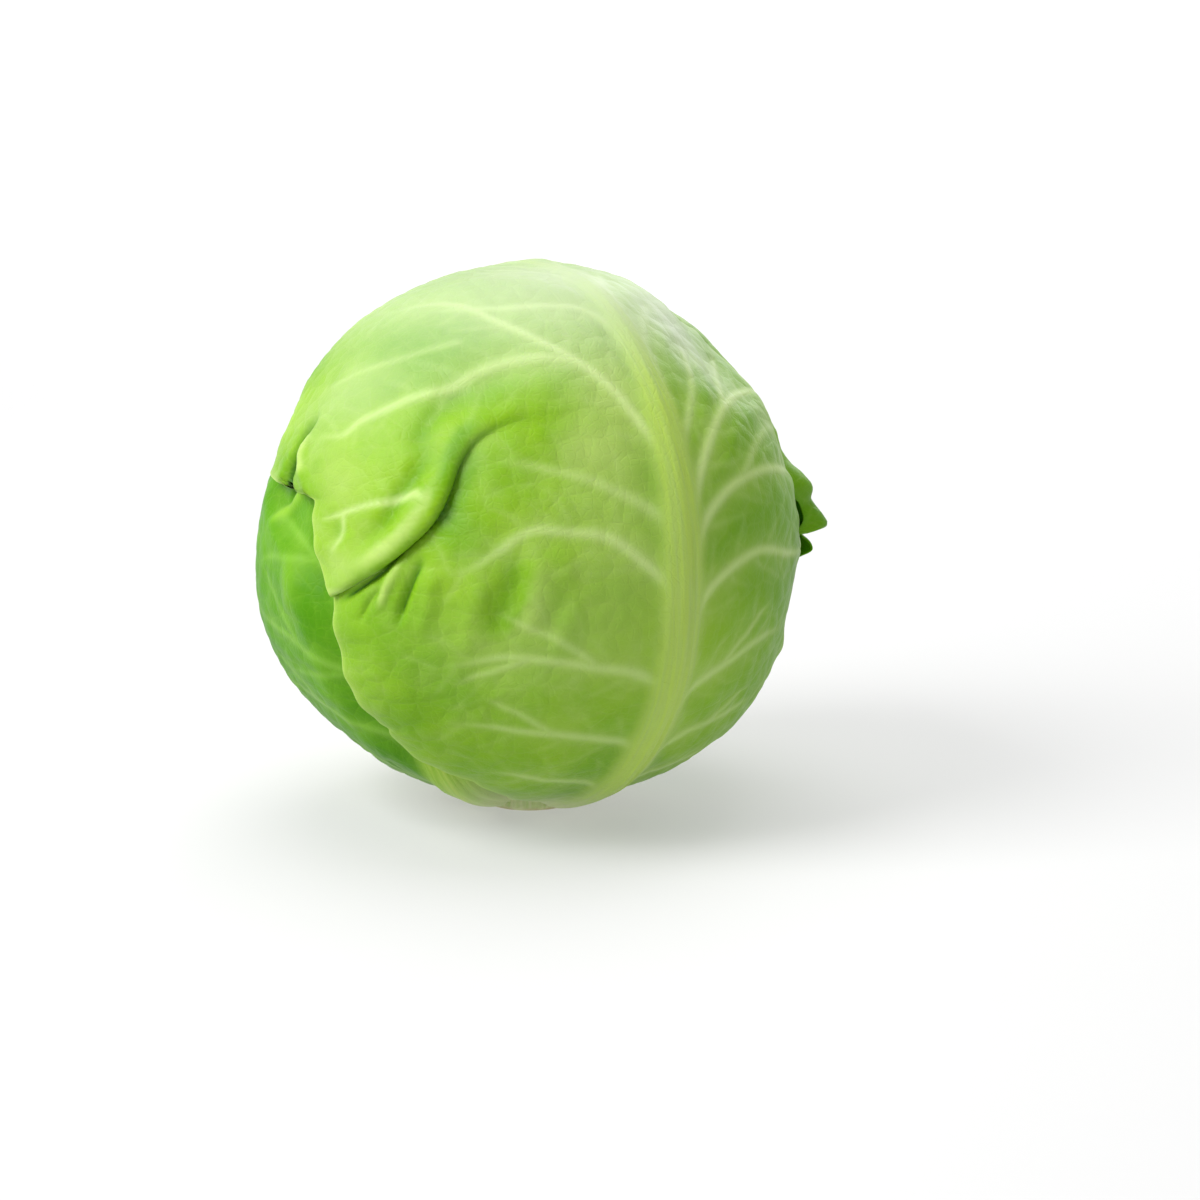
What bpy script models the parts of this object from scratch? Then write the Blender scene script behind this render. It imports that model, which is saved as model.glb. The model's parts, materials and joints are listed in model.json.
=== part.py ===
"""A cabbage head as picked, standing on its cut stem.

Nine wrapper leaves lie over a tight heart, and all of them grow from the stem, whose core runs up
into the heart. Metres, +Z up, front at -Y. The origin is the centre of the stem's cut face.

Every leaf is drawn on the head in two angles, x across it and y along it, measured from the leaf's
own centre on the head. The whole head is one oval. Each leaf presses what lies under it one layer
in, so the leaf under it steps up smoothly past its margin and takes its place on the oval.
"""

import math
from dataclasses import dataclass

import bmesh
import bpy
import numpy as np

# The head is round from above. From the side it is an oval, flatter below its centre.
HEAD_RADIUS = 0.0898
HEAD_RISE = 0.0985
HEAD_DROP = 0.0765
HEAD_POWER = 2.06
CENTRE_HEIGHT = 0.084
HEART_COLUMNS = 36
HEART_ROWS = 20
HEART_FOOT = 0.024
HEART_GAP = 0.0015

# The stem: a cut foot, and a core that tapers up inside the heart.
STEM_RADIUS = 0.017
STEM_CHAMFER = 0.001
STEM_SHOULDER = 0.016
CORE_NECK = 0.012
CORE_TIP = 0.004
CORE_HEIGHT = 0.105
CORE_CLEARANCE = 0.0005
STEM_STEPS = 24

# The leaves. A covered midrib keeps only a share of its height.
LEAF_THICKNESS = 0.0012
LAYER_GAP = 0.0015
LAYER = LEAF_THICKNESS + LAYER_GAP
STEM_GAP = 0.0035
RIB_BASE_WIDTH = 0.0085
RIB_TIP_WIDTH = 0.0035
RIB_SHARE = 0.3
GOLDEN_ANGLE = 137.5
FRONT_AZIMUTH = 33.0
LEFT_TWIST = 22.0
COLUMN_POWER = 1.35

# How far past a leaf's margin the leaf under it stays pressed in, and then how long its step up is.
STEP_REACH = 0.008
STEP_FALL = 0.031

# How far beside a covered midrib the leaf over it stays raised.
RIB_REACH = 0.010

# A free margin ripples, and may flare out at one bearing.
RIPPLES = 9
FLARE_WIDTH = 0.30

CENTRE = np.array((0.0, 0.0, CENTRE_HEIGHT))
MEAN_RADIUS = HEAD_RADIUS - 2 * LAYER


@dataclass
class Leaf:
    """One leaf. Angles are in degrees, lengths in metres.

    reach is how far the leaf goes from its centre at every 30 degrees: first to its right, then
    round by its tip and its left side. The tenth is its base, which base_reach() gives.
    """

    name: str
    azimuth: float
    elevation: float
    reach: tuple
    rib: float
    cells: int
    rib_bend: float = 0.0
    lift: float = 0.0
    flare: float = 0.0
    flare_bearing: float = 0.0

    def base_reach(self):
        """The angle from the leaf's centre to its base, just outside the stem."""
        base = math.degrees(math.atan2(STEM_RADIUS + STEM_GAP, HEAD_DROP - 2 * LAYER))
        return 90.0 + self.elevation - base

    def outline(self, bearing):
        """The outline's distance from the leaf's centre at a bearing, all in radians."""
        knots = np.radians(self.reach[:9] + (self.base_reach(),) + self.reach[9:])
        place = np.mod(bearing, 2 * math.pi) / (2 * math.pi) * len(knots)
        first = np.floor(place).astype(int) % len(knots)
        t = place - np.floor(place)
        before, start, end, after = (knots[(first + i) % len(knots)] for i in (-1, 0, 1, 2))
        return start + 0.5 * t * (
            (end - before)
            + t * (2 * before - 5 * start + 4 * end - after)
            + t * t * (3 * (start - end) + after - before)
        )

    def axes(self):
        """The leaf's outward, right-hand and upward directions."""
        a, e = math.radians(self.azimuth), math.radians(self.elevation)
        front = np.array((math.sin(a), -math.cos(a), 0.0))
        outward = math.cos(e) * front + np.array((0.0, 0.0, math.sin(e)))
        right = np.array((math.cos(a), math.sin(a), 0.0))
        upward = math.cos(e) * np.array((0.0, 0.0, 1.0)) - math.sin(e) * front
        return outward, right, upward

    def directions(self, x, y):
        """Unit vectors from the head's centre, at angles x and y from the leaf's centre."""
        outward, right, upward = self.axes()
        away = np.hypot(x, y)
        share = np.sinc(away / math.pi)
        return (
            np.cos(away)[..., None] * outward
            + (share * x)[..., None] * right
            + (share * y)[..., None] * upward
        )

    def angles(self, directions):
        """The angles x and y of these unit vectors: the opposite of directions()."""
        outward, right, upward = self.axes()
        across, along = directions @ right, directions @ upward
        sine = np.hypot(across, along)
        away = np.arctan2(sine, directions @ outward)
        scale = away / np.maximum(sine, 1e-9)
        return across * scale, along * scale

    def fill(self, x, y):
        """How far out each point lies: 0 at the leaf's centre and 1 on its margin."""
        return np.hypot(x, y) / self.outline(np.arctan2(y, x))

    def past_margin(self, x, y):
        """The distance outside the margin, and 0 inside it."""
        return np.maximum(np.hypot(x, y) - self.outline(np.arctan2(y, x)), 0.0) * MEAN_RADIUS

    def layer(self, directions):
        """1 where this leaf lies, falling to 0 past its margin."""
        x, y = self.angles(directions)
        return 1 - smooth((self.past_margin(x, y) - STEP_REACH) / STEP_FALL)

    def rib_height(self, directions, reach=0.0):
        """The midrib's height over the blade. It tapers from the base, and widens by reach."""
        x, y = self.angles(directions)
        length = math.radians(self.base_reach() + self.reach[3])
        along = np.clip((y + math.radians(self.base_reach())) / length, 0, 1)
        width = RIB_BASE_WIDTH + (RIB_TIP_WIDTH - RIB_BASE_WIDTH) * along
        aside = np.abs(x - math.radians(self.rib_bend) * along**2) * MEAN_RADIUS
        side = np.maximum(aside - reach, 0.0)
        inside = 1 - smooth(self.past_margin(x, y) / STEP_FALL)
        return self.rib * (1 - along) ** 0.9 * np.exp(-((side / width) ** 2)) * inside

    def margin_lift(self, directions):
        """How far the margin stands off what lies under it."""
        x, y = self.angles(directions)
        near_margin = smooth((self.fill(x, y) - 0.72) / 0.28)
        above_base = smooth((y + math.radians(self.base_reach()) * 0.75) / 0.5)
        bearing = np.arctan2(y, x)
        ripple = 0.6 + 0.4 * np.sin(RIPPLES * bearing + self.azimuth)
        aside = np.angle(np.exp(1j * (bearing - math.radians(self.flare_bearing))))
        flare = self.flare * np.exp(-((aside / FLARE_WIDTH) ** 2))
        return near_margin * above_base * (self.lift * ripple + flare)


def smooth(value):
    """A smooth step from 0 to 1."""
    t = np.clip(value, 0.0, 1.0)
    return t * t * (3 - 2 * t)


def azimuth_of(turn):
    """Leaves follow each other round the stem by the golden angle, counted from the front leaf."""
    return FRONT_AZIMUTH + GOLDEN_ANGLE * turn


FRONT_REACH = (48, 52, 66, 100, 119, 100, 79, 78, 72, 66, 56)
BROAD_REACH = (80, 82, 84, 84, 82, 80, 76, 76, 71, 70, 77)
SIDE_REACH = (85, 84, 82, 84, 85, 87, 86, 81, 72, 70, 79)
ROUND_REACH = (80, 82, 84, 84, 82, 80, 80, 76, 69, 68, 76)

# From the outermost leaf to the innermost.
LEAVES = [
    Leaf("outer_leaf_front", azimuth_of(0), 8, FRONT_REACH, 0.0050, 19, 7, 0.003),
    Leaf("outer_leaf_back", azimuth_of(1), 6, BROAD_REACH, 0.0050, 19, -4, 0.004, 0.007, 172),
    Leaf("outer_leaf_left", azimuth_of(2) + LEFT_TWIST, 4, SIDE_REACH, 0.0045, 18, 3, 0.003),
    Leaf("middle_leaf_right", azimuth_of(3), 6, SIDE_REACH, 0.0035, 17),
    Leaf("middle_leaf_back", azimuth_of(4), 6, SIDE_REACH, 0.0030, 16),
    Leaf("middle_leaf_front", azimuth_of(5), 8, ROUND_REACH, 0.0025, 16),
    Leaf("inner_leaf_back", azimuth_of(6), 10, ROUND_REACH, 0.0020, 15),
    Leaf("inner_leaf_left", azimuth_of(7), 10, ROUND_REACH, 0.0020, 15),
    Leaf("inner_leaf_right", azimuth_of(8), 12, ROUND_REACH, 0.0020, 15),
]

LEAF_GREENS = {
    "outer": (0.36, 0.56, 0.12),
    "middle": (0.47, 0.66, 0.22),
    "inner": (0.62, 0.74, 0.36),
}
HEART_GREEN = (0.72, 0.80, 0.50)
STEM_CREAM = (0.80, 0.82, 0.62)
LEAF_ROUGHNESS = 0.42
CUT_ROUGHNESS = 0.60


def clear_scene():
    """Removes whatever the scene holds."""
    for old in list(bpy.data.objects):
        bpy.data.objects.remove(old)


def plant_material(name, colour, roughness):
    """A plain dyed surface with no metal in it."""
    material = bpy.data.materials.new(name)
    material.use_nodes = True
    shader = material.node_tree.nodes["Principled BSDF"]
    shader.inputs["Base Color"].default_value = (*colour, 1.0)
    shader.inputs["Roughness"].default_value = roughness
    shader.inputs["Metallic"].default_value = 0.0
    return material


def add_object(name, mesh, collection, material):
    """Links a mesh to the head's collection under its node name."""
    made = bpy.data.objects.new(name, mesh)
    made.data.materials.append(material)
    collection.objects.link(made)
    return made


def turned(name, profile, steps, collection, material):
    """A solid turned about the Z axis from an outline of (radius, height) points."""
    mesh = bpy.data.meshes.new(name)
    edges = [(i, i + 1) for i in range(len(profile) - 1)]
    mesh.from_pydata([(radius, 0.0, height) for radius, height in profile], edges, [])
    made = add_object(name, mesh, collection, material)
    screw = made.modifiers.new("turn", "SCREW")
    screw.steps = screw.render_steps = steps
    screw.use_merge_vertices = True
    screw.merge_threshold = 0.00001
    screw.use_smooth_shade = True
    return made


def core_radius(height, clearance=0.0):
    """The core's radius at a height: it tapers from the stem's shoulder to its rounded tip."""
    share = (height - STEM_SHOULDER) / (CORE_HEIGHT - STEM_SHOULDER)
    return CORE_NECK + (CORE_TIP - CORE_NECK) * share + clearance


def make_stem(collection):
    """The cut foot and the core above it, as one turned piece."""
    foot = STEM_RADIUS - STEM_CHAMFER
    tip = CORE_HEIGHT + CORE_TIP * 0.6
    profile = [
        (0.0, tip),
        (CORE_TIP * 0.7, CORE_HEIGHT + CORE_TIP * 0.4),
        (core_radius(CORE_HEIGHT), CORE_HEIGHT),
        (core_radius(STEM_SHOULDER), STEM_SHOULDER),
        (STEM_RADIUS, STEM_SHOULDER * 0.55),
        (STEM_RADIUS, STEM_CHAMFER),
        (foot, 0.0),
        (0.0, 0.0),
    ]
    material = plant_material("cut_stem", STEM_CREAM, CUT_ROUGHNESS)
    return turned("stem", profile, STEM_STEPS, collection, material)


def head_radius(directions):
    """The distance from the head's centre to the oval."""
    flat = np.hypot(directions[..., 0], directions[..., 1])
    rise = directions[..., 2]
    semi = np.where(rise > 0, HEAD_RISE, HEAD_DROP)
    power = HEAD_POWER
    return ((flat / HEAD_RADIUS) ** power + (np.abs(rise) / semi) ** power) ** (-1 / power)


def pressed_radius(leaves, directions):
    """The oval, pressed in by each of these leaves where it lies."""
    radius = head_radius(directions)
    for leaf in leaves:
        radius = radius - LAYER * leaf.layer(directions)
    return radius


def make_socket_cutter():
    """The core's shape with its clearance, from below the heart to just over the core's tip."""
    profile = [
        (0.0, CORE_HEIGHT + CORE_TIP + 2 * CORE_CLEARANCE),
        (CORE_TIP * 0.7, CORE_HEIGHT + CORE_TIP + CORE_CLEARANCE),
        (core_radius(CORE_HEIGHT, CORE_CLEARANCE), CORE_HEIGHT + CORE_CLEARANCE),
        (core_radius(STEM_SHOULDER, CORE_CLEARANCE), STEM_SHOULDER),
        (0.0, STEM_SHOULDER),
    ]
    cutters = bpy.data.collections.new("cutters")
    bpy.context.scene.collection.children.link(cutters)
    material = plant_material("socket", HEART_GREEN, LEAF_ROUGHNESS)
    cutter = turned("core_socket", profile, STEM_STEPS, cutters, material)
    cutter.hide_render = True
    cutter.display_type = "WIRE"
    return cutter


def make_heart(collection):
    """The tightly packed inner leaves as one solid with a flat foot, and a socket for the core."""
    body = bmesh.new()
    bmesh.ops.create_uvsphere(body, u_segments=HEART_COLUMNS, v_segments=HEART_ROWS, radius=1.0)
    directions = np.array([vertex.co.normalized() for vertex in body.verts])
    radius = pressed_radius(LEAVES, directions) - HEART_GAP
    for vertex, point in zip(body.verts, CENTRE + directions * radius[:, None]):
        vertex.co = point
        vertex.co.z = max(vertex.co.z, HEART_FOOT)
    mesh = bpy.data.meshes.new("heart")
    body.to_mesh(mesh)
    body.free()
    mesh.shade_smooth()
    material = plant_material("heart", HEART_GREEN, LEAF_ROUGHNESS)
    heart = add_object("heart", mesh, collection, material)
    socket = heart.modifiers.new("socket", "BOOLEAN")
    socket.operation = "DIFFERENCE"
    socket.object = make_socket_cutter()
    return heart


def bare_share(leaf, directions):
    """1 where no leaf lies over this one, falling to 0 where one does."""
    bare = np.ones(directions.shape[:-1])
    for over in LEAVES[: LEAVES.index(leaf)]:
        bare = bare * (1 - over.layer(directions))
    return bare


def leaf_radius(leaf, directions):
    """The distance from the head's centre to the inner face of a leaf."""
    place = LEAVES.index(leaf)
    radius = pressed_radius(LEAVES[:place], directions)
    for under in LEAVES[place + 1 :]:
        radius = radius + RIB_SHARE * under.rib_height(directions, RIB_REACH)
    return radius + leaf.margin_lift(directions) * bare_share(leaf, directions)


def disc_from_square(a, b):
    """Moves the points of a square grid into a round one."""
    return a * np.sqrt(1 - b * b / 2), b * np.sqrt(1 - a * a / 2)


def leaf_angles(leaf, a, b):
    """Where the points of a square grid lie on a leaf. Columns stand closer by the midrib."""
    across, along = disc_from_square(np.sign(a) * np.abs(a) ** COLUMN_POWER, b)
    bearing = np.arctan2(along, across)
    away = np.hypot(across, along) * leaf.outline(bearing)
    return away * np.cos(bearing), away * np.sin(bearing)


def make_leaf(leaf, collection):
    """A grid bent over the head, then thickened outwards, most of all along the midrib."""
    grid = bmesh.new()
    bmesh.ops.create_grid(grid, x_segments=leaf.cells, y_segments=leaf.cells, size=1.0)
    flat = np.array([vertex.co for vertex in grid.verts])
    x, y = leaf_angles(leaf, flat[:, 0], flat[:, 1])
    directions = leaf.directions(x, y)
    points = CENTRE + directions * leaf_radius(leaf, directions)[:, None]
    for vertex, point in zip(grid.verts, points):
        vertex.co = point
    mesh = bpy.data.meshes.new(leaf.name)
    grid.to_mesh(mesh)
    grid.free()
    mesh.shade_smooth()

    kind = leaf.name.split("_")[0]
    material = plant_material(leaf.name, LEAF_GREENS[kind], LEAF_ROUGHNESS)
    made = add_object(leaf.name, mesh, collection, material)
    thickest = LEAF_THICKNESS + leaf.rib
    group = made.vertex_groups.new(name="thickness")
    seen = RIB_SHARE + (1 - RIB_SHARE) * bare_share(leaf, directions)
    for i, rib in enumerate(leaf.rib_height(directions) * seen):
        group.add([i], (LEAF_THICKNESS + rib) / thickest, "REPLACE")
    shell = made.modifiers.new("blade", "SOLIDIFY")
    shell.thickness = thickest
    shell.offset = 1.0
    shell.vertex_group = group.name
    return made


def main():
    """Builds the whole head."""
    clear_scene()
    collection = bpy.data.collections.new("cabbage_head")
    bpy.context.scene.collection.children.link(collection)
    make_stem(collection)
    make_heart(collection)
    for leaf in LEAVES:
        make_leaf(leaf, collection)


main()
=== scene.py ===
"""A head of cabbage standing on its cut stem: veined, folded and ruffled leaves over a tight heart.

The head is one oval. Every leaf is drawn on it in two angles, x across the leaf and y along it, and
presses what lies under it inwards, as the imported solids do. On that form come the margins, folds,
veins and puckers. Metres, +Z up, front at -Y. Angles are in degrees where a name doesn't say otherwise.
"""

import json
import logging
import math
from dataclasses import dataclass, field
from enum import Enum
from typing import Iterable, Sequence

import bpy
import numpy as np
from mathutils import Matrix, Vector

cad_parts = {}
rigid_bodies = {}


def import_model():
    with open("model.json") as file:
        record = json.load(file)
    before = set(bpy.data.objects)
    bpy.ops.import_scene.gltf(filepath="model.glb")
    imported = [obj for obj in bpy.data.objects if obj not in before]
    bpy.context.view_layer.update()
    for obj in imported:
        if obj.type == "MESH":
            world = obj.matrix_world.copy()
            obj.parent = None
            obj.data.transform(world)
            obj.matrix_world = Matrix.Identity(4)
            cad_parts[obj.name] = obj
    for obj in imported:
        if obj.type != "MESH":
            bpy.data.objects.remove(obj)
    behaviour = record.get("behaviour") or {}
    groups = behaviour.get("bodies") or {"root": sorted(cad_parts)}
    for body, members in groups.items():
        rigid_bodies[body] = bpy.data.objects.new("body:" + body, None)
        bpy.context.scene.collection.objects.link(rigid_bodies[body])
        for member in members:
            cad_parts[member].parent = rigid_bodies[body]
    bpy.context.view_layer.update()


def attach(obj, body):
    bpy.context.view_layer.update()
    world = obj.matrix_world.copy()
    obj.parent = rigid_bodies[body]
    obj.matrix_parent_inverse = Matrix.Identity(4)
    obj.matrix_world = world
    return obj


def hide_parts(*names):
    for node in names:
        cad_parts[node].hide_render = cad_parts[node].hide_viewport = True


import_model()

BODY = "root"
log = logging.getLogger("cabbage")

Colour = tuple[float, float, float]
Points = np.ndarray

GOLDEN_ANGLE = 137.5
FRONT_AZIMUTH = 33.0


# --------------------------------------------------------------------------- shape helpers


def smooth(value: Points) -> Points:
    """A smooth step from 0 to 1 as the value goes from 0 to 1."""
    t = np.clip(value, 0.0, 1.0)
    return t * t * (3 - 2 * t)


def bell(value: Points) -> Points:
    """1 at 0, falling away on both sides."""
    return np.exp(-(value**2))


def spline(keys: Sequence[Sequence[float]], at: Points) -> Points:
    """Reads a smooth curve through keys.

    Args:
        keys: Rows of (place, value, ...), in rising order of place.
        at: The places to read, held at the ends.

    Returns:
        One column for each value of a key.
    """
    table = np.asarray(keys, float)
    place, values = table[:, 0], table[:, 1:]
    slope = np.gradient(values, place, axis=0)
    at = np.clip(at, place[0], place[-1])
    left = np.clip(np.searchsorted(place, at, side="right") - 1, 0, len(place) - 2)
    width = place[left + 1] - place[left]
    t = ((at - place[left]) / width)[..., None]
    width = width[..., None]
    return (
        (1 + 2 * t) * (1 - t) ** 2 * values[left]
        + t * (1 - t) ** 2 * width * slope[left]
        + t * t * (3 - 2 * t) * values[left + 1]
        + t * t * (t - 1) * width * slope[left + 1]
    )


def curve_through(knots: Sequence[Sequence[float]], count: int) -> Points:
    """A smooth open curve through a few knots, as count points."""
    knots = np.asarray(knots, float)
    step = np.hypot(*np.diff(knots, axis=0).T)
    place = np.concatenate([[0.0], np.cumsum(step)])
    keys = np.column_stack([place / place[-1], knots])
    return spline(keys, np.linspace(0, 1, count))


@dataclass
class Nearest:
    """Where each point lies beside a line."""

    distance: Points
    share: Points
    side: Points
    normal: Points


def nearest(points: Points, line: Points) -> Nearest:
    """Finds the nearest place on a line of straight stretches.

    Args:
        points: The points, as (count, 2).
        line: The line's own points, as (count, 2).

    Returns:
        The distance, the share of the line passed, the side (1 on the right of the line's run,
        -1 on the left), and the line's right-hand normal there.
    """
    start, run = line[:-1], np.diff(line, axis=0)
    square = np.maximum((run**2).sum(1), 1e-18)
    offset = points[:, None] - start
    t = np.clip((offset * run).sum(2) / square, 0, 1)
    gap = offset - t[..., None] * run
    away = (gap**2).sum(2)
    best = away.argmin(1)
    row = np.arange(len(points))
    gap, run = gap[row, best], run[best]
    side = np.where(run[:, 1] * gap[:, 0] - run[:, 0] * gap[:, 1] < 0, -1.0, 1.0)
    normal = np.stack([run[:, 1], -run[:, 0]], 1) / np.sqrt(square[best])[:, None]
    return Nearest(np.sqrt(away[row, best]), (best + t[row, best]) / len(start), side, normal)


class Waves:
    """Smooth seeded noise, from a handful of plane waves."""

    def __init__(self, seed: int, size: int, short: float, long: float, count: int = 28) -> None:
        """Draws the waves.

        Args:
            seed: The seed of the draw.
            size: How many coordinates a point has.
            short: The shortest wavelength.
            long: The longest wavelength.
            count: How many waves there are.
        """
        draw = np.random.default_rng(seed)
        heading = draw.normal(size=(count, size))
        heading /= np.linalg.norm(heading, axis=1, keepdims=True)
        length = np.geomspace(short, long, count)
        self.pull = heading * (2 * math.pi / length)[:, None]
        self.phase = draw.uniform(0, 2 * math.pi, count)
        self.share = (length / long) ** 0.6
        self.share /= np.sqrt((self.share**2).sum() / 2)

    def __call__(self, points: Points) -> Points:
        """The noise at points, about 0 and mostly within 2 of it."""
        return np.sin(points @ self.pull.T + self.phase) @ self.share


class RingWaves:
    """Smooth seeded noise round a closed margin."""

    def __init__(self, seed: int, slow: int, fast: int) -> None:
        """Draws one wave for each whole number of turns from slow to fast."""
        draw = np.random.default_rng(seed)
        self.turns = np.arange(slow, fast + 1)
        self.phase = draw.uniform(0, 2 * math.pi, len(self.turns))
        share = draw.uniform(0.4, 1.0, len(self.turns)) * (slow / self.turns) ** 0.5
        self.share = share / np.sqrt((share**2).sum() / 2)

    def __call__(self, bearing: Points) -> Points:
        """The noise at bearings in radians."""
        total = np.zeros_like(bearing)
        for turn, phase, share in zip(self.turns, self.phase, self.share):
            total += share * np.sin(turn * bearing + phase)
        return total


# --------------------------------------------------------------------------- the head's form


@dataclass(frozen=True)
class Dent:
    """A broad hollow of the whole head, or a bulge where depth is negative."""

    azimuth: float
    elevation: float
    spread: float
    depth: float

    def at(self, directions: Points) -> Points:
        """How deep the head is in each direction."""
        a, e = math.radians(self.azimuth), math.radians(self.elevation)
        middle = (math.sin(a) * math.cos(e), -math.cos(a) * math.cos(e), math.sin(e))
        away = np.degrees(np.arccos(np.clip(directions @ np.array(middle), -1, 1)))
        return self.depth * bell(away / self.spread)


@dataclass(frozen=True)
class Head:
    """The oval that the outer leaves lie on, and how the layers lie under each other."""

    centre_height: float = 0.084
    radius: float = 0.0905
    rise: float = 0.0990
    drop: float = 0.0785
    power: float = 2.06
    core_radius: float = 0.0775
    core_drop: float = 0.0630
    blade: float = 0.0012
    gap: float = 0.0015
    stem_radius: float = 0.017
    stem_gap: float = 0.0035
    step_reach: float = 0.003
    step_fall: float = 0.017
    rib_reach: float = 0.004
    rib_share: float = 0.25
    rib_base_width: float = 0.0085
    rib_tip_width: float = 0.0035
    ripples: int = 9
    swell: float = 0.0008
    form: Waves = field(default_factory=lambda: Waves(11, 3, 0.55, 1.3))
    dents: tuple[Dent, ...] = (
        Dent(78, 50, 13, 0.0042), Dent(100, 12, 26, 0.0018), Dent(-95, 5, 35, 0.0018),
        Dent(0, 90, 12, 0.0022),
    )

    @property
    def layer(self) -> float:
        """One leaf and the gap over it."""
        return self.blade + self.gap

    @property
    def mean_radius(self) -> float:
        """The radius at which angles on a leaf are turned into lengths."""
        return self.core_radius + 3 * self.layer

    @property
    def centre(self) -> Points:
        """The head's centre."""
        return np.array((0.0, 0.0, self.centre_height))

    @property
    def degree(self) -> float:
        """The length of one degree on a leaf."""
        return self.mean_radius * math.pi / 180

    def surface(self, directions: Points) -> Points:
        """The oval's radius in each direction, with the slow unevenness of a grown head."""
        flat = np.hypot(directions[..., 0], directions[..., 1])
        rise = directions[..., 2]
        semi = np.where(rise > 0, self.rise, self.drop)
        radius = (flat / self.radius) ** self.power + (np.abs(rise) / semi) ** self.power
        above_stem = smooth((rise + 0.95) / 0.5)
        hollow = sum(dent.at(directions) for dent in self.dents)
        return radius ** (-1 / self.power) + self.swell * self.form(directions) * above_stem - hollow


HEAD = Head()


@dataclass(frozen=True)
class Leaf:
    """Where a leaf lies on the head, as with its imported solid.

    reach is how far the leaf goes from its centre at every 30 degrees: first to its right, then
    round by its tip and its left side. The tenth is its base, which base_reach() gives.
    """

    node: str
    turn: int
    elevation: float
    reach: tuple[float, ...]
    rib: float
    rib_bend: float = 0.0
    lift: float = 0.0
    depth: float = 0.0027
    twist: float = 0.0
    rib_start: float = 0.0

    @property
    def azimuth(self) -> float:
        """Leaves follow each other round the stem by about the golden angle."""
        return FRONT_AZIMUTH + GOLDEN_ANGLE * self.turn + self.twist

    def base_reach(self) -> float:
        """The angle from the leaf's centre to its base, just outside the stem."""
        low = HEAD.core_drop + 3 * HEAD.layer
        return 90 + self.elevation - math.degrees(math.atan2(HEAD.stem_radius + HEAD.stem_gap, low))

    def outline(self, bearing: Points, growth: float = 0.0) -> Points:
        """The outline's distance from the leaf's centre, in radians.

        Args:
            bearing: Bearings round the leaf's centre, in radians.
            growth: Degrees added to the base, where the leaf grows into the stem.
        """
        knots = np.radians(self.reach[:9] + (self.base_reach() + growth,) + self.reach[9:])
        place = np.mod(bearing, 2 * math.pi) / (2 * math.pi) * len(knots)
        first = np.floor(place).astype(int) % len(knots)
        t = place - np.floor(place)
        before, start, end, after = (knots[(first + i) % len(knots)] for i in (-1, 0, 1, 2))
        return start + 0.5 * t * (
            (end - before)
            + t * (2 * before - 5 * start + 4 * end - after)
            + t * t * (3 * (start - end) + after - before)
        )

    def axes(self) -> tuple[Points, Points, Points]:
        """The leaf's outward, right-hand and upward directions."""
        a, e = math.radians(self.azimuth), math.radians(self.elevation)
        front = np.array((math.sin(a), -math.cos(a), 0.0))
        outward = math.cos(e) * front + np.array((0.0, 0.0, math.sin(e)))
        right = np.array((math.cos(a), math.sin(a), 0.0))
        return outward, right, math.cos(e) * np.array((0.0, 0.0, 1.0)) - math.sin(e) * front

    def directions(self, x: Points, y: Points) -> Points:
        """Unit vectors from the head's centre, at angles x and y in radians."""
        outward, right, upward = self.axes()
        away = np.hypot(x, y)
        share = np.sinc(away / math.pi)
        return (
            np.cos(away)[..., None] * outward
            + (share * x)[..., None] * right
            + (share * y)[..., None] * upward
        )

    def angles(self, directions: Points) -> tuple[Points, Points]:
        """The angles x and y of these unit vectors: the opposite of directions()."""
        outward, right, upward = self.axes()
        across, along = directions @ right, directions @ upward
        sine = np.hypot(across, along)
        scale = np.arctan2(sine, directions @ outward) / np.maximum(sine, 1e-9)
        return across * scale, along * scale

    def past_margin(self, x: Points, y: Points) -> Points:
        """The distance outside the margin, and 0 inside it."""
        return np.maximum(np.hypot(x, y) - self.outline(np.arctan2(y, x)), 0) * HEAD.mean_radius

    def cover(self, directions: Points) -> Points:
        """1 where this leaf lies, falling to 0 past its margin."""
        past = self.past_margin(*self.angles(directions))
        return 1 - smooth((past - HEAD.step_reach) / HEAD.step_fall)

    def press(self, directions: Points) -> Points:
        """How deep this leaf holds down what lies under it."""
        return self.depth * self.cover(directions)

    def along(self, y: Points) -> Points:
        """The share of the leaf's length passed at a height."""
        base = math.radians(self.base_reach())
        return np.clip((y + base) / (base + math.radians(self.reach[3])), 0, 1)

    def rib_line(self, y: Points) -> Points:
        """The midrib's x at a height, both in radians."""
        bend = self.rib_start + (self.rib_bend - self.rib_start) * self.along(y) ** 2
        return np.radians(bend)

    def rib_bed(self, directions: Points) -> Points:
        """How far the midrib pushes up the leaf above it."""
        x, y = self.angles(directions)
        along = self.along(y)
        width = HEAD.rib_base_width + (HEAD.rib_tip_width - HEAD.rib_base_width) * along
        side = np.maximum(np.abs(x - self.rib_line(y)) * HEAD.mean_radius - HEAD.rib_reach, 0)
        inside = 1 - smooth(self.past_margin(x, y) / HEAD.step_fall)
        return self.rib * (1 - along) ** 0.9 * bell(side / width) * inside

    def margin_lift(self, x: Points, y: Points) -> Points:
        """How far the margin stands off what lies under it."""
        bearing = np.arctan2(y, x)
        near_margin = smooth((np.hypot(x, y) / self.outline(bearing) - 0.72) / 0.28)
        above_base = smooth((y + math.radians(self.base_reach()) * 0.75) / 0.5)
        ripple = 0.5 + 0.5 * np.sin(HEAD.ripples * bearing + self.azimuth)
        return near_margin * above_base * self.lift * ripple


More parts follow.
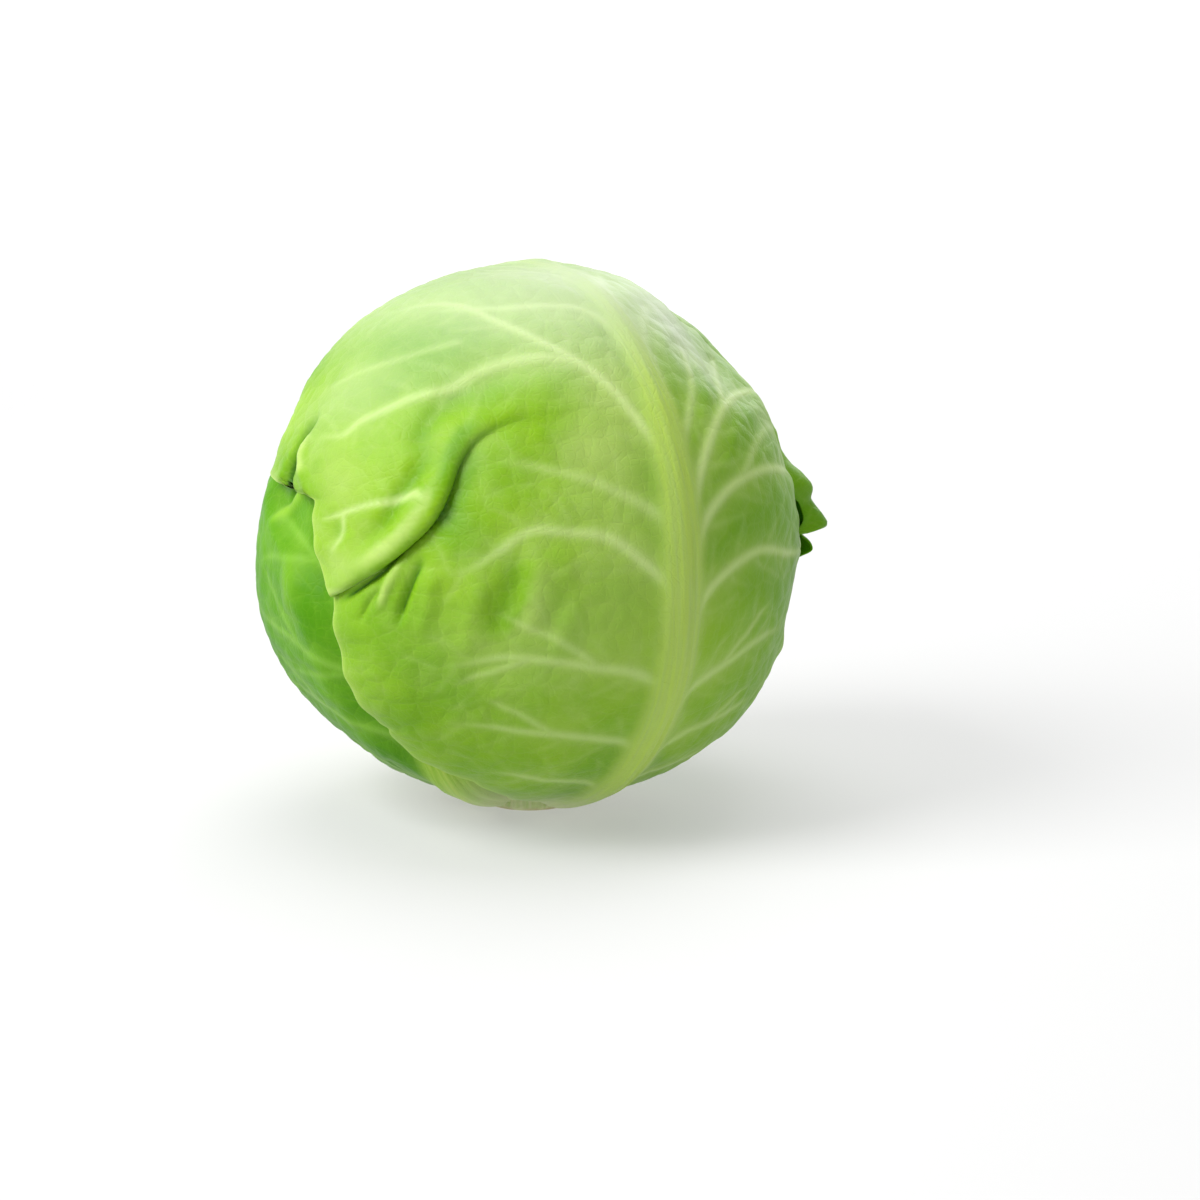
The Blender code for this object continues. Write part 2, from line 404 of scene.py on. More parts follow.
FRONT_REACH = (48, 52, 69, 100, 119, 112, 79, 78, 72, 66, 56)
BROAD_REACH = (80, 82, 84, 84, 82, 80, 76, 76, 71, 70, 77)
SIDE_REACH = (85, 84, 82, 84, 85, 87, 86, 81, 72, 70, 79)
ROUND_REACH = (80, 82, 84, 84, 82, 80, 80, 76, 69, 68, 76)

# From the outermost leaf to the innermost.
LEAVES = (
    Leaf("outer_leaf_front", 0, 8, FRONT_REACH, 0.0040, 8.5, 0.0010, 0.0046, rib_start=-3),
    Leaf("outer_leaf_back", 1, 6, BROAD_REACH, 0.0040, -4, 0.0015, 0.0036),
    Leaf("outer_leaf_left", 2, 4, SIDE_REACH, 0.0038, 3, 0.0012, 0.0032, 22),
    Leaf("middle_leaf_right", 3, 6, SIDE_REACH, 0.0035),
    Leaf("middle_leaf_back", 4, 6, SIDE_REACH, 0.0030),
    Leaf("middle_leaf_front", 5, 8, ROUND_REACH, 0.0025),
    Leaf("inner_leaf_back", 6, 10, ROUND_REACH, 0.0020),
    Leaf("inner_leaf_left", 7, 10, ROUND_REACH, 0.0020),
    Leaf("inner_leaf_right", 8, 12, ROUND_REACH, 0.0020),
)


# --------------------------------------------------------------------------- veins


class Side(Enum):
    """The side of the midrib that a vein grows to."""

    LEFT = -1
    RIGHT = 1


@dataclass(frozen=True)
class Fork:
    """A branch of a side vein."""

    at: float
    turn: float
    length: float
    bend: float


@dataclass(frozen=True)
class Vein:
    """A side vein. It leans off the midrib and bends further outwards along its length."""

    side: Side
    start: float
    lean: float
    bend: float
    length: float
    strength: float = 1.0
    forks: tuple[Fork, ...] = ()


@dataclass(frozen=True)
class Trace:
    """A vein that runs through these places of a leaf, in degrees."""

    knots: tuple[tuple[float, float], ...]
    strength: float = 1.0
    width: float = 0.00155


@dataclass
class Strand:
    """A vein's run over the blade, in metres."""

    line: Points
    width: float
    strength: float
    heading: Points
    rank: int


@dataclass
class Marks:
    """What the veins do at each point of a blade."""

    ridge: Points
    vein: Points
    halo: Points
    near: Points


class Venation:
    """All the veins of a blade: side veins, their forks, and two finer ranks."""

    ridge_height = 0.00060
    full_turn = 6.28
    quick_turn = 15
    fork_width = 0.8
    fork_strength = 0.72
    twig_width = 0.72
    side_reach = 0.022
    twig_reach = 0.004
    farthest = 0.03
    # The spacing and length of the finer ranks in degrees, and their share of the parent's strength.
    finer = ((9.0, 17.0, 0.20), (5.0, 7.0, 0.1))
    side_width = 0.00155
    halo_width = 0.0066

    def __init__(self, leaf: Leaf, veins: Iterable[Vein | Trace], seed: int, ranks: int = 3) -> None:
        """Grows the veins.

        Args:
            leaf: The leaf they belong to.
            veins: Its side veins, each by its growth or by its places.
            seed: The seed of the finer veins.
            ranks: How many ranks to grow: 1 for side veins alone.
        """
        self.leaf = leaf
        self.draw = np.random.default_rng(seed)
        self.strands: list[Strand] = []
        for vein in veins:
            if isinstance(vein, Trace):
                self.follow(vein)
            else:
                self.grow_side(vein)
        for rank, (spacing, length, share) in enumerate(self.finer, 2):
            if rank <= ranks:
                for parent in [s for s in self.strands if s.rank == rank - 1]:
                    self.grow_twigs(parent, rank, spacing, length, share)

    def run(self, start: Points, heading: float, bend: float, length: float) -> tuple[Points, Points]:
        """One vein's path.

        Args:
            start: Where it starts, in degrees.
            heading: Its first heading, clockwise from the leaf's upward axis.
            bend: How far the heading turns along it.
            length: Its length in degrees.

        Returns:
            The path's points in metres, and the heading at each.
        """
        count = max(6, int(length / 1.5))
        t = np.linspace(0, 1, count)
        phase, turns = self.draw.uniform(0, self.full_turn, 2), self.draw.uniform(0.7, 2.2)
        wobble = 5 * np.sin(turns * self.full_turn * t + phase[0])
        wobble = wobble + 3 * np.sin(turns * self.quick_turn * t + phase[1])
        headings = heading + bend * t + wobble * np.minimum(t * 4, 1)
        step = length / (count - 1)
        moves = step * np.stack([np.sin(np.radians(headings)), np.cos(np.radians(headings))], 1)
        path = start + np.concatenate([np.zeros((1, 2)), np.cumsum(moves[:-1], axis=0)])
        return path * HEAD.degree, headings

    def follow(self, trace: Trace) -> None:
        """Adds a vein through set places."""
        line = curve_through(trace.knots, 40)
        move = np.gradient(line, axis=0)
        headings = np.degrees(np.arctan2(move[:, 0], move[:, 1]))
        rank = 1 if trace.width >= self.side_width else 2
        self.strands.append(Strand(line * HEAD.degree, trace.width, trace.strength, headings, rank))

    def grow_side(self, vein: Vein) -> None:
        """Adds a side vein and its forks."""
        sign = vein.side.value
        height = np.radians(vein.start)
        start = np.array((math.degrees(float(self.leaf.rib_line(height))), vein.start))
        line, headings = self.run(start, sign * vein.lean, sign * vein.bend, vein.length)
        self.strands.append(Strand(line, self.side_width, vein.strength, headings, 1))
        for fork in vein.forks:
            place = int(fork.at * (len(line) - 1))
            turned = headings[place] + sign * fork.turn
            branch, turns = self.run(line[place] / HEAD.degree, turned, sign * fork.bend, fork.length)
            strength = vein.strength * self.fork_strength
            width = self.side_width * self.fork_width
            self.strands.append(Strand(branch, width, strength, turns, 1))

    def grow_twigs(self, parent: Strand, rank: int, spacing: float, length: float, share: float) -> None:
        """Adds the finer veins on both sides of a strand."""
        step = float(np.linalg.norm(parent.line[1] - parent.line[0])) / HEAD.degree
        total = (len(parent.line) - 1) * step
        place, side = spacing * self.draw.uniform(0.5, 1.0), 1
        while place < total:
            at = min(int(place / step), len(parent.line) - 1)
            turn = side * self.draw.uniform(48, 68)
            reach = length * self.draw.uniform(0.6, 1.15) * (1 - 0.35 * place / total)
            start = parent.line[at] / HEAD.degree
            line, headings = self.run(start, parent.heading[at] + turn, -0.5 * turn, reach)
            strength = parent.strength * share * self.draw.uniform(0.7, 1.2)
            width = parent.width * self.twig_width
            self.strands.append(Strand(line, width, strength, headings, rank))
            place, side = place + spacing * self.draw.uniform(0.35, 0.75), -side

    def mark(self, points: Points) -> Marks:
        """Says how strongly the veins mark each point, given in metres on the blade."""
        count = len(points)
        marks = Marks(*(np.zeros(count) for _ in range(3)), np.full(count, self.farthest))
        for strand in self.strands:
            wide = self.side_reach if strand.rank == 1 else self.twig_reach
            low, high = strand.line.min(0) - wide, strand.line.max(0) + wide
            near = np.flatnonzero(((points > low) & (points < high)).all(1))
            if len(near):
                found = nearest(points[near], strand.line)
                self.add(marks, near, found, strand)
        return marks

    def add(self, marks: Marks, near: Points, found: Nearest, strand: Strand) -> None:
        """Adds one strand's ridge and colour to the marks."""
        taper = 1 - 0.62 * found.share
        fade = smooth((1 - found.share) / 0.3)
        width = strand.width * (0.55 + 0.75 * taper)
        body = strand.strength * fade * bell(found.distance / width)
        marks.ridge[near] = np.maximum(marks.ridge[near], self.ridge_height * taper * body)
        marks.vein[near] = np.maximum(marks.vein[near], (0.5 + 0.5 * taper) * body)
        if strand.rank == 1:
            halo = strand.strength * taper * fade * bell(found.distance / self.halo_width)
            marks.halo[near] = np.maximum(marks.halo[near], halo)
            marks.near[near] = np.minimum(marks.near[near], found.distance + 0.02 * (1 - fade))


def pinnate(leaf: Leaf, seed: int, strength: float = 0.86) -> tuple[Vein, ...]:
    """Side veins for a leaf, in turn to the left and the right, steeper towards the tip."""
    draw = np.random.default_rng(seed)
    veins = []
    start, side = -62.0, Side.LEFT
    while start < leaf.reach[3] - 24:
        share = (start + 62.0) / (leaf.reach[3] + 38.0)
        lean = 62 - 36 * share + draw.uniform(-5, 5)
        length = 62 * math.sin(math.pi * (0.24 + 0.58 * share)) * draw.uniform(0.9, 1.1)
        forks = []
        for at in (0.28, 0.55):
            if draw.uniform() < 0.75:
                turn = draw.uniform(24, 40) * (1 if draw.uniform() < 0.6 else -1)
                forks.append(Fork(at + draw.uniform(-0.06, 0.06), turn, length * 0.45, 12))
        bend = 22 + draw.uniform(-6, 16)
        power = strength * draw.uniform(0.84, 1.16)
        veins.append(Vein(side, start, lean, bend, length, power, tuple(forks)))
        side = Side.RIGHT if side is Side.LEFT else Side.LEFT
        start += draw.uniform(6.5, 9.5)
    return tuple(veins)


FINE = 0.0012
FRONT_VEINS = (
    Trace(
        ((1, 19), (-4, 29), (-8, 38), (-13, 45), (-19, 52), (-24, 59), (-29, 67), (-38, 73), (-50, 77)),
    ),
    Trace(
        ((-13, 45), (-23, 47), (-31, 47), (-40, 45), (-48, 45), (-55, 44), (-61, 43), (-65, 41),
         (-71, 43), (-80, 46)),
        0.75,
    ),
    Trace(((2, 34), (1, 46), (-1, 54), (-5, 58), (-12, 60), (-21, 62), (-31, 66), (-42, 72)), 0.85),
    Trace(((0, 6), (-6, 12), (-13, 17), (-18, 20), (-25, 23), (-33, 26), (-38, 28)), 0.55),
    Trace(((0, -7), (-9, 2), (-16, 8), (-24, 10), (-31, 11), (-39, 7), (-46, 4), (-51, 6)), 0.8),
    Trace(((-52, 22), (-58, 21.5), (-63, 21.5), (-70, 21), (-79, 20)), 0.85, FINE),
    Trace(((-70, 20.5), (-72, 15), (-76, 10)), 0.6, FINE),
    Trace(((-64, 6), (-70, 3), (-75, 2), (-82, 1.5)), 0.55, FINE),
    Trace(((-34, 55), (-46, 56), (-58, 58), (-72, 60)), 0.4, FINE),
    Trace(((3, 24), (9, 31), (14, 38), (18, 46), (22, 56)), 0.7),
    Trace(((3, 13), (7, 19), (12, 25), (18, 30), (27, 34), (38, 36), (52, 36)), 0.95),
    Trace(((1, 3), (8, 11), (15, 15), (24, 17), (37, 17), (54, 16)), 0.85),
    Trace(((0, -14), (5, -6), (11, -2), (20, 1), (34, -1), (52, -3)), 0.75),
    Trace(((20, 31), (25, 38), (32, 44), (38, 50)), 0.6),
    Trace(((17, 15.5), (25, 22), (35, 26), (48, 27)), 0.5),
    Vein(Side.LEFT, -60, 60, 30, 40, 0.6),
    Vein(Side.LEFT, -42, 62, 38, 50, 0.6, (Fork(0.5, -28, 20, 10),)),
    Vein(Side.LEFT, -25, 60, 46, 54, 0.6, (Fork(0.35, -30, 26, 20), Fork(0.6, 26, 18, 10))),
    Vein(Side.LEFT, 56, 4, 62, 42, 0.7, (Fork(0.5, 28, 18, 16),)),
    Vein(Side.LEFT, 72, 14, 40, 26, 0.6),
    Vein(Side.LEFT, 86, 22, 30, 20, 0.6),
    Vein(Side.RIGHT, -62, 58, 24, 34, 0.6),
    Vein(Side.RIGHT, -47, 58, 34, 40, 0.6, (Fork(0.5, -26, 16, 10),)),
    Vein(Side.RIGHT, -31, 54, 42, 44, 0.65, (Fork(0.4, -30, 20, 20),)),
    Vein(Side.RIGHT, 40, 22, 48, 30, 0.7),
    Vein(Side.RIGHT, 58, 20, 40, 20, 0.6),
    Vein(Side.RIGHT, 74, 22, 36, 20, 0.6),
    Vein(Side.RIGHT, 88, 26, 30, 14, 0.5),
)


# --------------------------------------------------------------------------- folds and swellings


@dataclass(frozen=True)
class Fold:
    """A pleat: the blade on the right of a line's run is drawn over the blade on its left.

    line is in degrees. Strength grows from 0 at the line's start to 1 at the share grown, and is
    end at its finish.
    """

    line: tuple[tuple[float, float], ...]
    overhang: float
    height: float
    reach: float
    grown: float = 0.4
    end: float = 1.0

    # Rows of (distance from the line as a share of reach, shift as a share of overhang, height).
    section = (
        (-1.00, 0.00, 0.00),
        (-0.70, 0.10, -0.14),
        (-0.44, 0.32, -0.36),
        (-0.26, 0.46, -0.52),
        (-0.14, 0.08, -0.42),
        (-0.04, -0.50, 0.00),
        (0.06, -1.00, 0.40),
        (0.15, -0.95, 0.60),
        (0.28, -0.64, 0.56),
        (0.46, -0.30, 0.34),
        (0.70, -0.08, 0.14),
        (1.00, 0.00, 0.00),
    )

    def bend(self, points: Points) -> tuple[Points, Points, Points]:
        """Moves the points of a blade, given in metres.

        Returns:
            The moved points, how far each is raised, and how deep in the fold it is, which the blade
            paints as shade.
        """
        line = curve_through(self.line, 60) * HEAD.degree
        low, high = line.min(0) - self.reach, line.max(0) + self.reach
        near = np.flatnonzero(((points > low) & (points < high)).all(1))
        found = nearest(points[near], line)
        place = found.distance * found.side / self.reach
        shape = spline(self.section, place)
        growth = smooth(found.share / self.grown)
        late = smooth((found.share - self.grown) / (1 - self.grown))
        strength = growth * (1 + (self.end - 1) * late)
        strength = strength * smooth((1 - found.distance / self.reach) / 0.1)
        moved, raised, shade = points.copy(), np.zeros(len(points)), np.zeros(len(points))
        moved[near] += found.normal * (self.overhang * strength * shape[:, 0])[:, None]
        raised[near] = self.height * strength * shape[:, 1]
        # painted shade: strongest just under the lip, in the fold's crevice
        shade[near] = strength * bell((place + 0.10) / 0.13)
        return moved, raised, shade


@dataclass(frozen=True)
class Crease:
    """A ridge, or a groove where height is negative, that fades at both ends."""

    line: tuple[tuple[float, float], ...]
    height: float
    width: float

    def raise_points(self, points: Points) -> Points:
        """How far each point of a blade, in metres, is raised."""
        found = nearest(points, curve_through(self.line, 24) * HEAD.degree)
        ends = smooth(found.share / 0.3) * smooth((1 - found.share) / 0.3)
        return self.height * ends * bell(found.distance / self.width)


@dataclass(frozen=True)
class Swell:
    """A broad bulge, or a hollow where height is negative."""

    x: float
    y: float
    wide: float
    tall: float
    height: float
    tilt: float = 0.0

    def raise_points(self, points: Points) -> Points:
        """How far each point of a blade, in metres, is raised."""
        turn = math.radians(self.tilt)
        off = points / HEAD.degree - np.array((self.x, self.y))
        across = off[:, 0] * math.cos(turn) + off[:, 1] * math.sin(turn)
        along = off[:, 1] * math.cos(turn) - off[:, 0] * math.sin(turn)
        return self.height * np.exp(-((across / self.wide) ** 2) - (along / self.tall) ** 2)


@dataclass(frozen=True)
class Lobe:
    """A pointed lobe of the margin that stands off the head, its point turned to one side.

    bearing, before and after are in degrees, point and stand in metres. The larger power is, the
    blunter the point.
    """

    bearing: float
    before: float
    after: float
    point: float
    stand: float
    power: float = 1.5

    fall = 0.013

    def shape(self, bearing: Points) -> Points:
        """1 at the lobe's point, falling slowly before it and fast after it."""
        aside = np.degrees(np.angle(np.exp(1j * (bearing - math.radians(self.bearing)))))
        return np.exp(-np.abs(aside / np.where(aside < 0, self.before, self.after)) ** self.power)

    def stand_off(self, bearing: Points, inside: Points) -> Points:
        """How far the blade stands off, falling with the distance inside the margin."""
        return self.stand * self.shape(bearing) * np.exp(-((inside / self.fall) ** 1.3))


# --------------------------------------------------------------------------- node graphs


class Value:
    """A socket that Python's arithmetic works on."""

    def __init__(self, graph: "Graph", socket: bpy.types.NodeSocket) -> None:
        """Wraps one output socket of a graph."""
        self.graph = graph
        self.socket = socket

    def maths(self, operation: str, *values: "Value | float") -> "Value":
        """Adds a Math node for an operation on these values."""
        inputs = dict(enumerate(values))
        return self.graph.node("ShaderNodeMath", {"operation": operation}, inputs).out(0)

    def __add__(self, other: "Value | float") -> "Value":
        """self + other."""
        return self.maths("ADD", self, other)

    __radd__ = __add__

    def __sub__(self, other: "Value | float") -> "Value":
        """self - other."""
        return self.maths("SUBTRACT", self, other)

    def __rsub__(self, other: "Value | float") -> "Value":
        """other - self."""
        return self.maths("SUBTRACT", other, self)

    def __mul__(self, other: "Value | float") -> "Value":
        """self * other."""
        return self.maths("MULTIPLY", self, other)

    __rmul__ = __mul__

    def __pow__(self, other: "Value | float") -> "Value":
        """self ** other."""
        return self.maths("POWER", self, other)


class Node:
    """A node whose outputs are read as values."""

    def __init__(self, graph: "Graph", node: bpy.types.Node) -> None:
        """Wraps one node of a graph."""
        self.graph = graph
        self.node = node

    def out(self, key: int | str) -> Value:
        """An output by its place or name."""
        if isinstance(key, int):
            return Value(self.graph, self.node.outputs[key])
        socket = next(s for s in self.node.outputs if s.name == key and s.enabled)
        return Value(self.graph, socket)


Input = Value | float | tuple


class Graph:
    """Builds a shader or geometry node tree."""

    def __init__(self, tree: bpy.types.NodeTree) -> None:
        """Starts with an empty tree."""
        self.tree = tree
        tree.nodes.clear()

    def node(self, kind: str, settings: dict | None = None, inputs: dict | None = None) -> Node:
        """Adds a node.

        Args:
            kind: The node's type name.
            settings: Its own settings, set first.
            inputs: Values or links of its sockets, by place or name.
        """
        made = self.tree.nodes.new(kind)
        for name, value in (settings or {}).items():
            setattr(made, name, value)
        for key, value in (inputs or {}).items():
            if isinstance(key, int):
                socket = made.inputs[key]
            else:
                socket = next(s for s in made.inputs if s.name == key and s.enabled)
            if isinstance(value, Value):
                self.tree.links.new(value.socket, socket)
            else:
                socket.default_value = value
        return Node(self, made)

    def mix(self, factor: Input, first: Input, second: Input) -> Value:
        """Mixes two colours."""
        inputs = {"Factor": factor, "A": opaque(first), "B": opaque(second)}
        settings = {"data_type": "RGBA", "clamp_factor": True}
        return self.node("ShaderNodeMix", settings, inputs).out("Result")

    def band(self, value: Value, low: float, high: float, start: float = 0, end: float = 1) -> Value:
        """Takes low..high smoothly to start..end."""
        inputs = {"Value": value, "From Min": low, "From Max": high, "To Min": start, "To Max": end}
        settings = {"interpolation_type": "SMOOTHSTEP", "clamp": True}
        return self.node("ShaderNodeMapRange", settings, inputs).out("Result")

    def noise(self, vector: Value, scale: float, detail: float = 2.0, rough: float = 0.5) -> Value:
        """Noise about 0.5."""
        inputs = {"Vector": vector, "Scale": scale, "Detail": detail, "Roughness": rough}
        return self.node("ShaderNodeTexNoise", {"noise_dimensions": "3D"}, inputs).out(0)

    def net(self, vector: Value, scale: float) -> Value:
        """The distance to the nearest line of an uneven net."""
        settings = {"voronoi_dimensions": "2D", "feature": "DISTANCE_TO_EDGE"}
        inputs = {"Vector": vector, "Scale": scale, "Randomness": 0.9}
        return self.node("ShaderNodeTexVoronoi", settings, inputs).out("Distance")

    def stretch(self, vector: Value, scale: tuple) -> Value:
        """Scales a vector along its axes."""
        settings = {"operation": "MULTIPLY"}
        return self.node("ShaderNodeVectorMath", settings, {0: vector, 1: scale}).out(0)


def opaque(colour: Input) -> Input:
    """A colour with its alpha, where it isn't a link."""
    return colour if isinstance(colour, Value) else (*colour, 1.0)


@dataclass(frozen=True)
class Finish:
    """What every finish of the head has in common."""

    name: str
    roughness: float = 0.42
    specular: float = 0.14

    def begin(self) -> tuple[bpy.types.Material, Graph]:
        """A new material and its empty graph."""
        material = bpy.data.materials.new(self.name)
        material.use_nodes = True
        return material, Graph(material.node_tree)

    def end(self, graph: Graph, colour: Value, roughness: Value, normal: Value, glow: float) -> None:
        """Adds the surface shader.

        Args:
            graph: The material's graph.
            colour: The base colour.
            roughness: The roughness.
            normal: The bumped normal.
            glow: The share of light that spreads under the surface.
        """
        inputs = {
            "Base Color": colour,
            "Roughness": roughness,
            "Normal": normal,
            "Metallic": 0.0,
            "Specular IOR Level": self.specular,
            "Subsurface Weight": glow,
            "Subsurface Radius": (0.55, 1.0, 0.18),
            "Subsurface Scale": 0.0045,
        }
        shader = graph.node("ShaderNodeBsdfPrincipled", None, inputs)
        graph.node("ShaderNodeOutputMaterial", None, {"Surface": shader.out(0)})


@dataclass(frozen=True)
class LeafFinish(Finish):
    """A leaf with a waxen coat: pale veins and midrib on a mottled green blade, frosted whitish in
    patches, with painted light and shade and a painted sheen that whitens it towards the top.
    """

    # The first green is painted shade alone; deep and light serve the blade's own tones and also painted
    # shade and painted highlight; the whitish green of frost also serves painted sheen.
    painted_shade: Colour = (0.040, 0.150, 0.001)
    deep: Colour = (0.125, 0.300, 0.002)
    green: Colour = (0.235, 0.430, 0.014)
    light: Colour = (0.350, 0.500, 0.110)
    vein: Colour = (0.520, 0.660, 0.250)
    rib: Colour = (0.385, 0.545, 0.085)
    base: Colour = (0.560, 0.640, 0.320)
    edge: Colour = (0.400, 0.570, 0.120)
    bloom_and_sheen: Colour = (0.430, 0.515, 0.330)
    glow: float = 0.12

    def make(self) -> bpy.types.Material:
        """Builds the material."""
        material, graph = self.begin()
        plane = graph.node("ShaderNodeUVMap", {"uv_map": "plane"}).out(0)
        vein, halo, rib, edge, base, pale, painted_sheen = (
            graph.node("ShaderNodeAttribute", {"attribute_name": name}).out("Fac")
            for name in ("vein", "halo", "rib", "edge", "base", "pale", "painted_sheen")
        )
        patches = graph.noise(plane, 17.0, 3.0, 0.55)
        mottle = graph.noise(plane, 75.0, 4.0, 0.6)
        grain = graph.noise(plane, 900.0, 2.0, 0.6)
        coarse_net = graph.net(plane, 120.0)
        fine_net = graph.net(plane, 380.0)
        coarse_line = graph.band(coarse_net, 0.0, 0.10, 1.0, 0.0)
        fine_line = graph.band(fine_net, 0.0, 0.16, 1.0, 0.0)
        streaks = graph.noise(graph.stretch(plane, (620.0, 26.0, 1.0)), 1.0, 3.0, 0.55)

        tone = graph.band(patches, 0.30, 0.70)
        colour = graph.mix(tone, self.deep, self.green)
        colour = graph.mix(graph.band(mottle, 0.42, 0.78) * 0.25, colour, self.light)
        # Painted light and shade: where pale is below 1 the colour goes towards deep green and below 0
        # towards the darkest green, as painted shade; above 1 towards the light green, as painted
        # highlight.
        colour = graph.mix(pale, self.deep, colour)
        colour = graph.mix(graph.band(pale, 1.0, 2.0), colour, self.light)
        colour = graph.mix(graph.band(pale, -1.0, 0.0, 1.0, 0.0), colour, self.painted_shade)
        colour = graph.mix(halo * 0.55, colour, self.light)
        colour = graph.mix(coarse_line * (0.03 + 0.07 * mottle), colour, self.light)
        colour = graph.mix(fine_line * 0.05, colour, self.light)
        colour = graph.mix(vein * 0.88, colour, self.vein)
        rib_tone = graph.mix(graph.band(streaks, 0.35, 0.70), self.rib, self.light)
        colour = graph.mix(rib, colour, rib_tone)
        colour = graph.mix(base, colour, self.base)
        colour = graph.mix(edge * 0.65, colour, self.edge)
        # Whitish frost in patches, and painted sheen whitening the top of the head and some spots.
        frost = graph.band(patches * 0.6 + mottle * 0.4, 0.48, 0.74)
        colour = graph.mix(frost * 0.10 + painted_sheen * (0.55 + 0.5 * patches), colour, self.bloom_and_sheen)

        roughness = self.roughness + 0.16 * (mottle - 0.5) + 0.10 * frost - 0.05 * vein
        relief = (
            grain * 0.18
            + mottle * 0.35
            - fine_line * 0.16
            - coarse_line * 0.18 * (1 - rib)
            + streaks * rib * 0.9
        )
        inputs = {"Strength": 0.55, "Distance": 0.00045, "Height": relief}
        normal = graph.node("ShaderNodeBump", None, inputs).out("Normal")
        self.end(graph, colour, roughness, normal, self.glow)
        return material


@dataclass(frozen=True)
class StemFinish(Finish):
    """Pale flesh: fibres down the side, rings and a dried rim on the cut."""

    flesh: Colour = (0.66, 0.70, 0.42)
    pith: Colour = (0.80, 0.80, 0.62)
    skin: Colour = (0.50, 0.62, 0.26)
    dried: Colour = (0.40, 0.30, 0.13)
    outer: float = HEAD.stem_radius

    def make(self) -> bpy.types.Material:
        """Builds the material."""
        material, graph = self.begin()
        place = graph.node("ShaderNodeTexCoord").out("Object")
        apart = graph.node("ShaderNodeSeparateXYZ", None, {0: place})
        across, deep, height = (apart.out(axis) for axis in ("X", "Y", "Z"))
        radius = (across * across + deep * deep) ** 0.5 * (1 / self.outer)
        speckle = graph.noise(place, 420.0, 4.0, 0.6)
        stains = graph.noise(place, 90.0, 3.0, 0.6)
        fibres = graph.noise(graph.stretch(place, (900.0, 900.0, 60.0)), 1.0, 3.0, 0.6)
        rings = graph.node(
            "ShaderNodeTexWave",
            {"wave_type": "RINGS", "rings_direction": "Z"},
            {"Vector": place, "Scale": 150.0, "Distortion": 3.0, "Detail": 3.0, "Detail Scale": 2.0},
        ).out(1)
        on_cut = graph.band(height, 0.0004, 0.0016, 1.0, 0.0)
        cut = graph.mix(graph.band(radius, 0.35, 0.72), self.pith, self.flesh)
        cut = graph.mix(rings * 0.22, cut, self.skin)
        rim = graph.band(radius, 0.80, 0.99) * graph.band(stains, 0.30, 0.62)
        cut = graph.mix(rim * 0.75, cut, self.dried)
        side = graph.mix(graph.band(fibres, 0.30, 0.72), self.skin, self.flesh)
        side = graph.mix(graph.band(stains, 0.58, 0.76) * 0.5, side, self.dried)
        colour = graph.mix(on_cut, side, cut)
        roughness = self.roughness + 0.2 * (speckle - 0.5)
        relief = speckle * 0.5 + fibres * (1 - on_cut) + rings * on_cut * 0.35
        inputs = {"Strength": 0.6, "Distance": 0.0005, "Height": relief}
        normal = graph.node("ShaderNodeBump", None, inputs).out("Normal")
        self.end(graph, colour, roughness, normal, 0.12)
        return material


@dataclass(frozen=True)
class HeartFinish(Finish):
    """Pale leaf flesh, a little greener in patches."""

    pale: Colour = (0.62, 0.70, 0.32)
    green: Colour = (0.46, 0.62, 0.17)

    def make(self) -> bpy.types.Material:
        """Builds the material."""
        material, graph = self.begin()
        place = graph.node("ShaderNodeTexCoord").out("Object")
        patches = graph.noise(place, 26.0, 4.0, 0.6)
        grain = graph.noise(place, 420.0, 3.0, 0.6)
        colour = graph.mix(graph.band(patches, 0.36, 0.66), self.pale, self.green)
        roughness = self.roughness + 0.15 * (grain - 0.5)
        inputs = {"Strength": 0.5, "Distance": 0.0005, "Height": grain * 0.4 + patches}
        normal = graph.node("ShaderNodeBump", None, inputs).out("Normal")
        self.end(graph, colour, roughness, normal, 0.12)
        return material


@dataclass(frozen=True)
class FloorFinish(Finish):
    """A plain pale floor."""

    colour: Colour = (0.40, 0.40, 0.40)
    near_glow: float = 0.36
    far_glow: float = 0.90
    far: float = 2.5

    def make(self) -> bpy.types.Material:
        """Builds the material."""
        material, graph = self.begin()
        place = graph.node("ShaderNodeTexCoord").out("Object")
        apart = graph.node("ShaderNodeVectorMath", {"operation": "LENGTH"}, {0: place}).out("Value")
        glow = graph.band(apart, 0.3, self.far)
        glow = graph.mix(glow, (self.near_glow,) * 3, (self.far_glow,) * 3)
        dust = graph.noise(place, 3.0, 2.0)
        colour = graph.mix(dust * 0.1, self.colour, (0.32, 0.32, 0.32))
        inputs = {
            "Base Color": colour,
            "Roughness": self.roughness,
            "Specular IOR Level": 0.2,
            "Emission Color": glow,
            "Emission Strength": 1.0,
        }
        shader = graph.node("ShaderNodeBsdfPrincipled", None, inputs)
        graph.node("ShaderNodeOutputMaterial", None, {"Surface": shader.out(0)})
        return material


# --------------------------------------------------------------------------- geometry node trees


